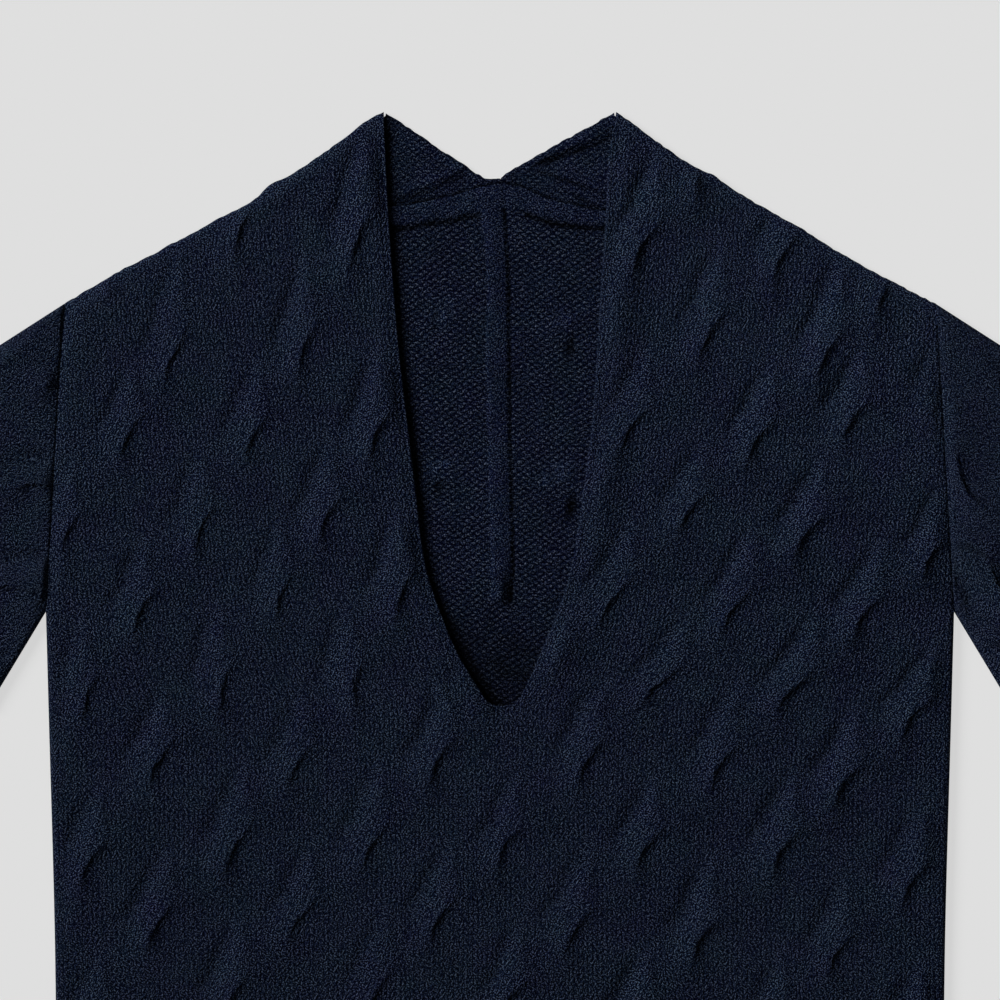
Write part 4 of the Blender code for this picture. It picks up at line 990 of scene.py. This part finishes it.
def sleevePiece(name, sign):
    # A tube pressed flat: rings of an upper face, a half-circle fold, a lower face and a fold,
    # from the armhole to the cuff and, turned in there, back along the inside.
    topLine = np.array([[shoulderEndX, shoulderTable["y"][-1]], sleeve["cuffTop"]])
    lowLine = np.array([[underarmX, underarmY], sleeve["cuffLow"]])

    def inwards(corner, fold, cross):
        # from a corner along the armhole or cuff, until the fold is its radius away
        cross = cross / np.linalg.norm(cross)
        fold = fold / np.linalg.norm(fold)
        return corner - cross * foldRadius / abs(cross[0] * fold[1] - cross[1] * fold[0])

    armhole = topLine[0] - lowLine[0]
    cuff = topLine[1] - lowLine[1]
    topFold = topLine[1] - topLine[0]
    lowFold = lowLine[1] - lowLine[0]
    topFlat = np.array([inwards(topLine[0], topFold, armhole), inwards(topLine[1], topFold, cuff)])
    lowFlat = np.array([inwards(lowLine[0], lowFold, -armhole),
                        inwards(lowLine[1], lowFold, -cuff)])
    share = np.linspace(0, 1, sleeve["along"] + 1)[:, None]
    shift = np.array([cloth["seamGap"] / 2, 0.0]) * (1 - share)
    top, low, topOut, lowOut = [line[0] * (1 - share) + line[1] * share + shift
                                for line in (topFlat, lowFlat, topLine, lowLine)]
    upwards = -topFold / np.linalg.norm(topFold)
    sideways = np.array([upwards[1], -upwards[0]]) * sign

    part = np.linspace(0, 1, sleeve["across"] + 1)[None, :, None]
    face = top[:, None] * (1 - part) + low[:, None] * part
    fromCuff = face - topLine[1]
    across = fromCuff @ sideways
    along = fromCuff @ upwards
    centres = latticeCentres((across.min(), along.min()), (across.max(), along.max()))
    height, shift, shades = cableRelief(across, along, centres)
    toFold = np.minimum(np.linalg.norm(face - top[:, None], axis=2),
                        np.linalg.norm(face - low[:, None], axis=2))
    length = np.linalg.norm(topFlat[1] - topFlat[0])
    toCuff = length * (1 - share)
    toArm = length * share
    fade = smoothStep(toFold / front["fadeOver"] + 0.2)
    fade = fade * smoothStep((toCuff - sleeve["hemDepth"]) / front["fadeOver"])
    fade = fade * smoothStep(toArm / front["armFade"] + 0.05)
    hem = sleeve["hemRise"] * smoothStep((sleeve["hemDepth"] - toCuff) / 0.002)
    height = height * fade + hem - front["seamDip"] * bell(toArm, front["armDipWidth"])
    upper = np.concatenate([face, (frontTop + height)[:, :, None]], axis=2)

    steps = sleeve["foldSteps"]
    angle = np.linspace(math.pi / 2, -math.pi / 2, steps + 2)[1:-1]
    out = np.cos(angle)[None, :, None]
    level = (foldRadius + foldRadius * np.sin(angle))[None, :, None]
    level = np.broadcast_to(level, (len(share), steps, 1))
    lowRound = low[:, None] + (lowOut - low)[:, None] * out
    lowRound = np.concatenate([lowRound, level], axis=2)
    topRound = top[:, None] + (topOut - top)[:, None] * out[:, ::-1]
    topRound = np.concatenate([topRound, level[:, ::-1]], axis=2)
    under = face[:, ::-sleeve["underEvery"]]
    lower = np.concatenate([under, np.zeros(under.shape[:2] + (1,))], axis=2)
    outer = np.concatenate([upper, lowRound, lower, topRound], axis=1)

    # the inside: the same rings drawn in by the wall, each point straight inwards
    inner = outer.copy()
    upperCount = upper.shape[1]
    inner[:, :upperCount, 2] = frontLow
    lowStart = upperCount + steps
    topStart = lowStart + lower.shape[1]
    inner[:, lowStart:topStart, 2] = cloth["wall"]
    innerRadius = foldRadius - cloth["wall"]
    for first, flatEnd, lineEnd, turn in ((upperCount, low, lowOut, 1),
                                          (topStart, top, topOut, -1)):
        span = slice(first, first + steps)
        outwards = (lineEnd - flatEnd)[:, None] * out[:, ::turn] * innerRadius / foldRadius
        inner[:, span, :2] = flatEnd[:, None] + outwards
        rises = level[:, ::turn, 0] - foldRadius
        inner[:, span, 2] = foldRadius + rises * innerRadius / foldRadius
    rings = np.concatenate([outer, inner[::-sleeve["insideEvery"]]], axis=0)
    rings[..., 0] *= sign
    ringCount, around = rings.shape[:2]
    index = np.arange(ringCount * around).reshape(ringCount, around)
    wrapped = np.concatenate([index, index[:, :1]], axis=1)
    wrapped = np.concatenate([wrapped, wrapped[:1]], axis=0)
    quads = gridQuads(wrapped)
    if sign < 0:
        quads = quads[:, ::-1]
    laid = rings[..., :2] * np.array([sign, 1]) - topLine[1]
    ringUv = np.stack([laid @ sideways, laid @ upwards], axis=2)
    ringUv[:len(share), :upperCount] += shift * fade[:, :, None]
    shades["paintedShade"] *= fade
    shades["line"] *= fade
    shades["plain"] = 0 * fade
    for key, values in shades.items():
        padded = np.zeros((ringCount, around))
        padded[:len(share), :upperCount] = values
        shades[key] = padded.ravel()
    strides = np.linalg.norm(np.diff(rings, axis=1, prepend=rings[:, :1]), axis=2)
    flatUv = np.stack([np.cumsum(strides, axis=1), ringUv[..., 1]], axis=2)
    return makeMesh(name, rings.reshape(-1, 3), quads, None,
                    {"knit": ringUv.reshape(-1, 2), "flat": flatUv.reshape(-1, 2)}, shades)


# the stitches' shape, in shares of a column or course
stitch = {
    "slant": 0.85,           # how far a leg of the V climbs towards the column's edge
    "endFall": 0.8,          # how much lower its ends are
    "roundness": 0.7,
    "wobbleScale": 260.0,
    "arcWide": 0.36,         # the inside's arcs
    "arcHigh": 0.27,
    "arcBend": 0.8,
}
yarn = {
    "fibreScale": 1450.0,
    "fibreTurn": 0.55,       # of the fibres' grain, away from the columns
    "hueScale": 45.0,
    "hueShift": 0.07,
    "paintedShadeDarkens": 0.5,
    "least": -0.5,           # of the amount of light fibre
    "most": 1.9,
    "power": 2.4,
}


def newGroup(name, inputs, outputs):
    # a shader node group with its sockets made
    group = bpy.data.node_groups.new(name, "ShaderNodeTree")
    for label, kind, value in inputs:
        socket = group.interface.new_socket(label, in_out="INPUT", socket_type=kind)
        if value is not None:
            socket.default_value = value
    for label, kind in outputs:
        group.interface.new_socket(label, in_out="OUTPUT", socket_type=kind)
    return group, group.nodes.new("NodeGroupInput"), group.nodes.new("NodeGroupOutput")


def put(tree, socket, value):
    # links a socket, or sets a plain value
    if isinstance(value, bpy.types.NodeSocket):
        tree.links.new(value, socket)
    else:
        socket.default_value = value


def calc(tree, operation, first, second=None):
    # one Math node
    node = tree.nodes.new("ShaderNodeMath")
    node.operation = operation
    put(tree, node.inputs[0], first)
    if second is not None:
        put(tree, node.inputs[1], second)
    return node.outputs[0]


def plus(tree, first, second):
    return calc(tree, "ADD", first, second)


def minus(tree, first, second):
    return calc(tree, "SUBTRACT", first, second)


def times(tree, first, second):
    return calc(tree, "MULTIPLY", first, second)


def over(tree, first, second):
    return calc(tree, "DIVIDE", first, second)


def noise(tree, vector, scale, detail, roughness=0.5):
    # a Noise Texture node at the given place
    node = tree.nodes.new("ShaderNodeTexNoise")
    put(tree, node.inputs["Vector"], vector)
    node.inputs["Scale"].default_value = scale
    node.inputs["Detail"].default_value = detail
    node.inputs["Roughness"].default_value = roughness
    return node


def wobbled(tree, vector, wobble):
    # the vector's first two coordinates, each moved by a noise of the given size
    shake = noise(tree, vector, stitch["wobbleScale"], 1.0)
    place = tree.nodes.new("ShaderNodeSeparateXYZ")
    put(tree, place.inputs[0], vector)
    change = tree.nodes.new("ShaderNodeSeparateXYZ")
    put(tree, change.inputs[0], shake.outputs["Color"])
    return [plus(tree, place.outputs[axis],
                 times(tree, minus(tree, change.outputs[axis], 0.5), wobble))
            for axis in (0, 1)]


def cellChance(tree, column, row):
    # A chance value for one stitch, from its whole-numbered column and row.
    cell = tree.nodes.new("ShaderNodeCombineXYZ")
    put(tree, cell.inputs[0], calc(tree, "FLOOR", column))
    put(tree, cell.inputs[1], calc(tree, "FLOOR", row))
    chance = tree.nodes.new("ShaderNodeTexWhiteNoise")
    chance.noise_dimensions = "2D"
    put(tree, chance.inputs["Vector"], cell.outputs[0])
    return chance.outputs["Value"]


def knitGroup(name, wobble):
    # the start of a stitch pattern: its sockets, and a point's column and course as numbers
    tree, inputs, outputs = newGroup(
        name,
        [("Vector", "NodeSocketVector", None), ("Wale", "NodeSocketFloat", 0.0053),
         ("Course", "NodeSocketFloat", 0.0036), ("Wobble", "NodeSocketFloat", wobble)],
        [("Height", "NodeSocketFloat"), ("Chance", "NodeSocketFloat")])
    moved = wobbled(tree, inputs.outputs["Vector"], inputs.outputs["Wobble"])
    column = over(tree, moved[0], inputs.outputs["Wale"])
    course = over(tree, moved[1], inputs.outputs["Course"])
    return tree, outputs, column, course


def stitchGroup():
    # Height of knit seen from its right side, from 0 to 1. s is how far from the middle of a
    # column (0) to its edge (1). Each leg of a V is sin(pi * fract(course - slant * s))^roundness
    # across, and 1 - endFall * (2s - 1)^2 from end to end.
    tree, outputs, column, course = knitGroup("stitches", 0.0026)
    aside = calc(tree, "ABSOLUTE", minus(tree, calc(tree, "FRACT", column), 0.5))
    s = times(tree, aside, 2.0)
    slanted = minus(tree, course, times(tree, s, stitch["slant"]))
    ridge = calc(tree, "SINE", times(tree, calc(tree, "FRACT", slanted), math.pi))
    across = minus(tree, times(tree, s, 2.0), 1.0)
    legs = minus(tree, 1.0, times(tree, times(tree, across, across), stitch["endFall"]))
    height = times(tree, calc(tree, "POWER", ridge, stitch["roundness"]), legs)
    put(tree, outputs.inputs["Height"], height)
    put(tree, outputs.inputs["Chance"], cellChance(tree, times(tree, column, 2.0), slanted))
    return tree


def purlGroup():
    # Height of knit seen from its inside, from 0 to 1: two sets of short arcs, one in each column
    # and the other halfway between columns and courses. With u and v measured from an arc's
    # middle, and v bent by arcBend * u^2, up in one set and down in the other, its height is the
    # root of 1 - (u / arcWide)^2 - (v / arcHigh)^2.
    tree, outputs, column, course = knitGroup("purls", 0.0022)
    arcs = []
    for step, bend in ((0.0, stitch["arcBend"]), (0.5, -stitch["arcBend"])):
        u = minus(tree, calc(tree, "FRACT", plus(tree, column, step)), 0.5)
        v = minus(tree, calc(tree, "FRACT", plus(tree, course, step)), 0.5)
        uu = times(tree, u, u)
        v = plus(tree, v, times(tree, uu, bend))
        rest = minus(tree, 1.0, over(tree, uu, stitch["arcWide"] ** 2))
        rest = minus(tree, rest, over(tree, times(tree, v, v), stitch["arcHigh"] ** 2))
        arcs.append(calc(tree, "SQRT", calc(tree, "MAXIMUM", rest, 0.0)))
    chance = cellChance(tree, times(tree, column, 2.0), times(tree, course, 2.0))
    put(tree, outputs.inputs["Height"], calc(tree, "MAXIMUM", arcs[0], arcs[1]))
    put(tree, outputs.inputs["Chance"], chance)
    return tree


def heatherGroup():
    # Colour of the mixed yarn. Its amount of light fibre is the level plus a fibre-fine noise, the
    # stitch's own chance and its height, each less a half and with a weight; the height's share is
    # painted light on the stitches' tops and painted shade between them. The dark and light tones
    # are mixed as they look and then turned into light with a power. Slow noise shifts the hue a
    # little, and the painted shade darkens the colour, lightening it where it is below zero.
    tree, inputs, outputs = newGroup(
        "heather",
        [("Vector", "NodeSocketVector", None), ("Along", "NodeSocketVector", None),
         ("Dark", "NodeSocketColor", (0.01, 0.02, 0.06, 1)),
         ("Light", "NodeSocketColor", (0.15, 0.17, 0.22, 1)), ("Height", "NodeSocketFloat", 0.5),
         ("Chance", "NodeSocketFloat", 0.5), ("Painted Shade", "NodeSocketFloat", 0.0),
         ("Fibre Weight", "NodeSocketFloat", 3.5), ("Chance Weight", "NodeSocketFloat", 0.4),
         ("Stitch Painted Light", "NodeSocketFloat", 0.5), ("Level", "NodeSocketFloat", 0.5)],
        [("Color", "NodeSocketColor")])
    given = inputs.outputs
    turned = tree.nodes.new("ShaderNodeVectorRotate")
    turned.rotation_type = "Z_AXIS"
    turned.inputs["Angle"].default_value = yarn["fibreTurn"]
    put(tree, turned.inputs["Vector"], given["Along"])
    fine = noise(tree, turned.outputs[0], yarn["fibreScale"], 0.0)
    fine.noise_dimensions = "2D"
    amount = given["Level"]
    for value, weight in ((fine.outputs["Fac"], "Fibre Weight"), (given["Chance"], "Chance Weight"),
                          (given["Height"], "Stitch Painted Light")):
        amount = plus(tree, amount, times(tree, minus(tree, value, 0.5), given[weight]))
    clamp = tree.nodes.new("ShaderNodeClamp")
    put(tree, clamp.inputs["Value"], amount)
    clamp.inputs["Min"].default_value = yarn["least"]
    clamp.inputs["Max"].default_value = yarn["most"]
    mix = tree.nodes.new("ShaderNodeMix")
    mix.data_type = "RGBA"
    mix.clamp_factor = False
    mix.clamp_result = True
    put(tree, mix.inputs["Factor"], clamp.outputs[0])
    put(tree, mix.inputs["A"], given["Dark"])
    put(tree, mix.inputs["B"], given["Light"])
    gamma = tree.nodes.new("ShaderNodeGamma")
    gamma.inputs["Gamma"].default_value = yarn["power"]
    put(tree, gamma.inputs["Color"], mix.outputs["Result"])
    slow = noise(tree, given["Vector"], yarn["hueScale"], 3.0, 0.6)
    shift = times(tree, minus(tree, slow.outputs["Fac"], 0.5), yarn["hueShift"])
    # painted shade darkens the colour; below zero it is painted light and lightens it
    value = minus(tree, 1.0, times(tree, given["Painted Shade"], yarn["paintedShadeDarkens"]))
    hue = tree.nodes.new("ShaderNodeHueSaturation")
    put(tree, hue.inputs["Hue"], plus(tree, shift, 0.5))
    put(tree, hue.inputs["Value"], value)
    put(tree, hue.inputs["Color"], gamma.outputs["Color"])
    put(tree, outputs.inputs["Color"], hue.outputs["Color"])
    return tree


finish = {
    # the yarn's dark and light tone, whose power of 2.4 is the light that they give back
    # the stitches' height in the colour is painted light on their tops and painted shade between
    # them
    "outside": {"dark": (0.025, 0.055, 0.126), "light": (0.154, 0.185, 0.250), "level": 0.215,
                "lines": True, "depth": 0.0006, "stitchPaintedLight": 0.45, "chanceWeight": 0.06,
                "fibreWeight": 6.8},
    "inside": {"dark": (0.028, 0.059, 0.132), "light": (0.184, 0.210, 0.270), "level": 0.280,
               "lines": False, "depth": 0.0009, "stitchPaintedLight": 0.90, "chanceWeight": 0.06,
               "fibreWeight": 4.2},
    "plainShare": 0.85,      # how far plain cloth loses its stitches, and the height it has
    "plainHeight": 0.45,
    "lineWidth": 1.7,        # of a crease's line of painted shade, in pixels of the photograph
    # how dark the crease's painted shade line is
    "linePaintedShade": 1.1,
    "lineStep": 0.0010,      # how far the cloth drops there
    "fuzz": 0.00016,
    "fuzzScale": 900.0,
    "roughness": 1.0,
    "specular": 0.02,
}


def readUv(tree, label):
    node = tree.nodes.new("ShaderNodeUVMap")
    node.uv_map = label
    return node.outputs[0]


def readAttribute(tree, label):
    node = tree.nodes.new("ShaderNodeAttribute")
    node.attribute_name = label
    return node.outputs["Fac"]


def knitMaterial(name, stitches, heather, look):
    # Cloth with the given stitches: their height and the yarn's fuzz raise it, and the heather
    # colours it with the painted shade. On the outside a crease's painted shade lies along its line
    # as a bell, and the cloth drops there by a step, half of 1 - tanh(distance).
    material = bpy.data.materials.new(name)
    material.use_nodes = True
    tree = material.node_tree
    shader = tree.nodes["Principled BSDF"]
    body = tree.nodes.new("ShaderNodeGroup")
    body.node_tree = stitches
    put(tree, body.inputs["Vector"], readUv(tree, "knit"))
    body.inputs["Wale"].default_value = knit["wale"]
    body.inputs["Course"].default_value = knit["course"]
    # the painted shade, and painted light where it is below zero
    paintedShade = readAttribute(tree, "paintedShade")
    height = tree.nodes.new("ShaderNodeMix")
    plainness = times(tree, readAttribute(tree, "plain"), finish["plainShare"])
    put(tree, height.inputs["Factor"], plainness)
    put(tree, height.inputs["A"], body.outputs["Height"])
    height.inputs["B"].default_value = finish["plainHeight"]
    height = height.outputs["Result"]
    step = 0.0
    if look["lines"]:
        line = readAttribute(tree, "line")
        apart = over(tree, readAttribute(tree, "away"), finish["lineWidth"])
        narrow = calc(tree, "EXPONENT", times(tree, times(tree, apart, apart), -1.0))
        paintedShade = plus(tree, paintedShade, times(tree, times(tree, line, narrow), finish["linePaintedShade"]))
        step = times(tree, minus(tree, 1.0, calc(tree, "TANH", apart)), 0.5)
        step = times(tree, times(tree, step, line), finish["lineStep"])
    place = tree.nodes.new("ShaderNodeTexCoord")
    colour = tree.nodes.new("ShaderNodeGroup")
    colour.node_tree = heather
    for socket, value in (("Vector", place.outputs["Object"]), ("Along", readUv(tree, "flat")),
                          ("Dark", look["dark"] + (1,)), ("Light", look["light"] + (1,)),
                          ("Level", look["level"]), ("Height", height),
                          ("Chance", body.outputs["Chance"]), ("Painted Shade", paintedShade),
                          ("Fibre Weight", look["fibreWeight"]),
                          ("Stitch Painted Light", look["stitchPaintedLight"]),
                          ("Chance Weight", look["chanceWeight"])):
        put(tree, colour.inputs[socket], value)
    put(tree, shader.inputs["Base Color"], colour.outputs["Color"])
    hairs = noise(tree, place.outputs["Object"], finish["fuzzScale"], 2.0, 0.7)
    fuzz = times(tree, hairs.outputs["Fac"], finish["fuzz"])
    bump = tree.nodes.new("ShaderNodeBump")
    bump.inputs["Strength"].default_value = 1.0
    bump.inputs["Distance"].default_value = 1.0
    put(tree, bump.inputs["Height"],
        plus(tree, times(tree, height, look["depth"]), plus(tree, fuzz, step)))
    put(tree, shader.inputs["Normal"], bump.outputs["Normal"])
    shader.inputs["Roughness"].default_value = finish["roughness"]
    shader.inputs["Specular IOR Level"].default_value = finish["specular"]
    return material


stage = {
    "paper": 0.7379,         # the background's tone as light
    "paperShade": 0.15,      # the share of it that shadows can reach
    "reach": 12.0,           # from the floor's middle to its sides
    "drop": 0.0002,          # how far it lies below the cloth
    "lens": 200.0,
    "sensor": 36.0,
    "imageSize": 1000,       # in pixels
    "elevation": 36.0,       # of the key light, in degrees
    "azimuth": 158.0,        # where it stands, counterclockwise from the right
    "softness": 28.0,
    "key": 4.6,
    "fill": 0.14,
}


def makeStage():
    # A pale floor that gives back most of its tone as light of its own, one soft lamp, and a
    # camera straight above, as high as the photograph's scale wants.
    floorMesh = bpy.data.meshes.new("floor")
    reach, level = stage["reach"], -stage["drop"]
    floorMesh.from_pydata([(-reach, -reach, level), (reach, -reach, level), (reach, reach, level),
                           (-reach, reach, level)], [], [(0, 1, 2, 3)])
    floor = bpy.data.objects.new("floor", floorMesh)
    bpy.context.scene.collection.objects.link(floor)
    paint = bpy.data.materials.new("floorPaint")
    paint.use_nodes = True
    shader = paint.node_tree.nodes["Principled BSDF"]
    lit = stage["paper"] * stage["paperShade"]
    shader.inputs["Base Color"].default_value = (lit, lit, lit, 1)
    shader.inputs["Emission Color"].default_value = (1, 1, 1, 1)
    shader.inputs["Emission Strength"].default_value = stage["paper"] - lit
    shader.inputs["Roughness"].default_value = 1.0
    shader.inputs["Specular IOR Level"].default_value = 0.0
    floorMesh.materials.append(paint)

    scene = bpy.context.scene
    scene.view_settings.view_transform = "Standard"
    world = bpy.data.worlds.new("studio")
    world.use_nodes = True
    sky = world.node_tree.nodes["Background"]
    sky.inputs["Color"].default_value = (1, 1, 1, 1)
    sky.inputs["Strength"].default_value = stage["fill"]
    scene.world = world

    lamp = bpy.data.lights.new("key", "SUN")
    lamp.angle = math.radians(stage["softness"])
    lamp.energy = stage["key"]
    key = bpy.data.objects.new("key", lamp)
    key.rotation_euler = (0.0, math.radians(90 - stage["elevation"]),
                          math.radians(stage["azimuth"]))
    key.location = (0, 0, 2)
    scene.collection.objects.link(key)

    camera = bpy.data.cameras.new("camera")
    camera.lens = stage["lens"]
    camera.sensor_width = stage["sensor"]
    eye = bpy.data.objects.new("camera", camera)
    size = stage["imageSize"]
    distance = size * photoScale * stage["lens"] / stage["sensor"]
    eye.location = (0.0, (photoCentreRow - size / 2) * photoScale, distance + frontTop)
    scene.collection.objects.link(eye)
    scene.camera = eye


makeStage()
print("stage ready")
# each piece with the solid it stands for, its finish, what it lies on, and its cut: width and
# length laid flat, and area, of what shows, all round on a sleeve
pieces = {
    "frontKnit": {"made": frontPiece(), "node": "front", "slot": "knit_front",
                  "on": "backKnit", "flat": (0.500, 0.620), "area": 0.259},
    "backKnit": {"made": backPiece(), "node": "back", "slot": "knit_inside",
                 "on": "floor", "flat": (0.500, 0.592), "area": 0.276},
    "collarLeftKnit": {"made": collarPiece("collarLeftKnit", "left"), "node": "collar_left",
                       "slot": "knit_inside", "on": "floor", "flat": (0.102, 0.050),
                       "area": 0.0030},
    "collarRightKnit": {"made": collarPiece("collarRightKnit", "right"), "node": "collar_right",
                        "slot": "knit_inside", "on": "floor", "flat": (0.102, 0.050),
                        "area": 0.0033},
    "sleeveLeftKnit": {"made": sleevePiece("sleeveLeftKnit", -1), "node": "sleeve_left",
                       "slot": "knit_front", "on": "floor", "flat": (0.340, 0.155),
                       "area": 0.0313},
    "sleeveRightKnit": {"made": sleevePiece("sleeveRightKnit", 1), "node": "sleeve_right",
                        "slot": "knit_front", "on": "floor", "flat": (0.340, 0.155),
                        "area": 0.0313},
}
print("pieces made:", {name: len(row["made"].data.polygons) for name, row in pieces.items()})

heather = heatherGroup()
outside = knitMaterial("knitOutside", stitchGroup(), heather, finish["outside"])
inside = knitMaterial("knitInside", purlGroup(), heather, finish["inside"])
for row in pieces.values():
    piece = row["made"]
    piece.data.materials.append(outside if row["slot"] == "knit_front" else inside)
    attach(piece, "root")
    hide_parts(row["node"])
print("materials ready")
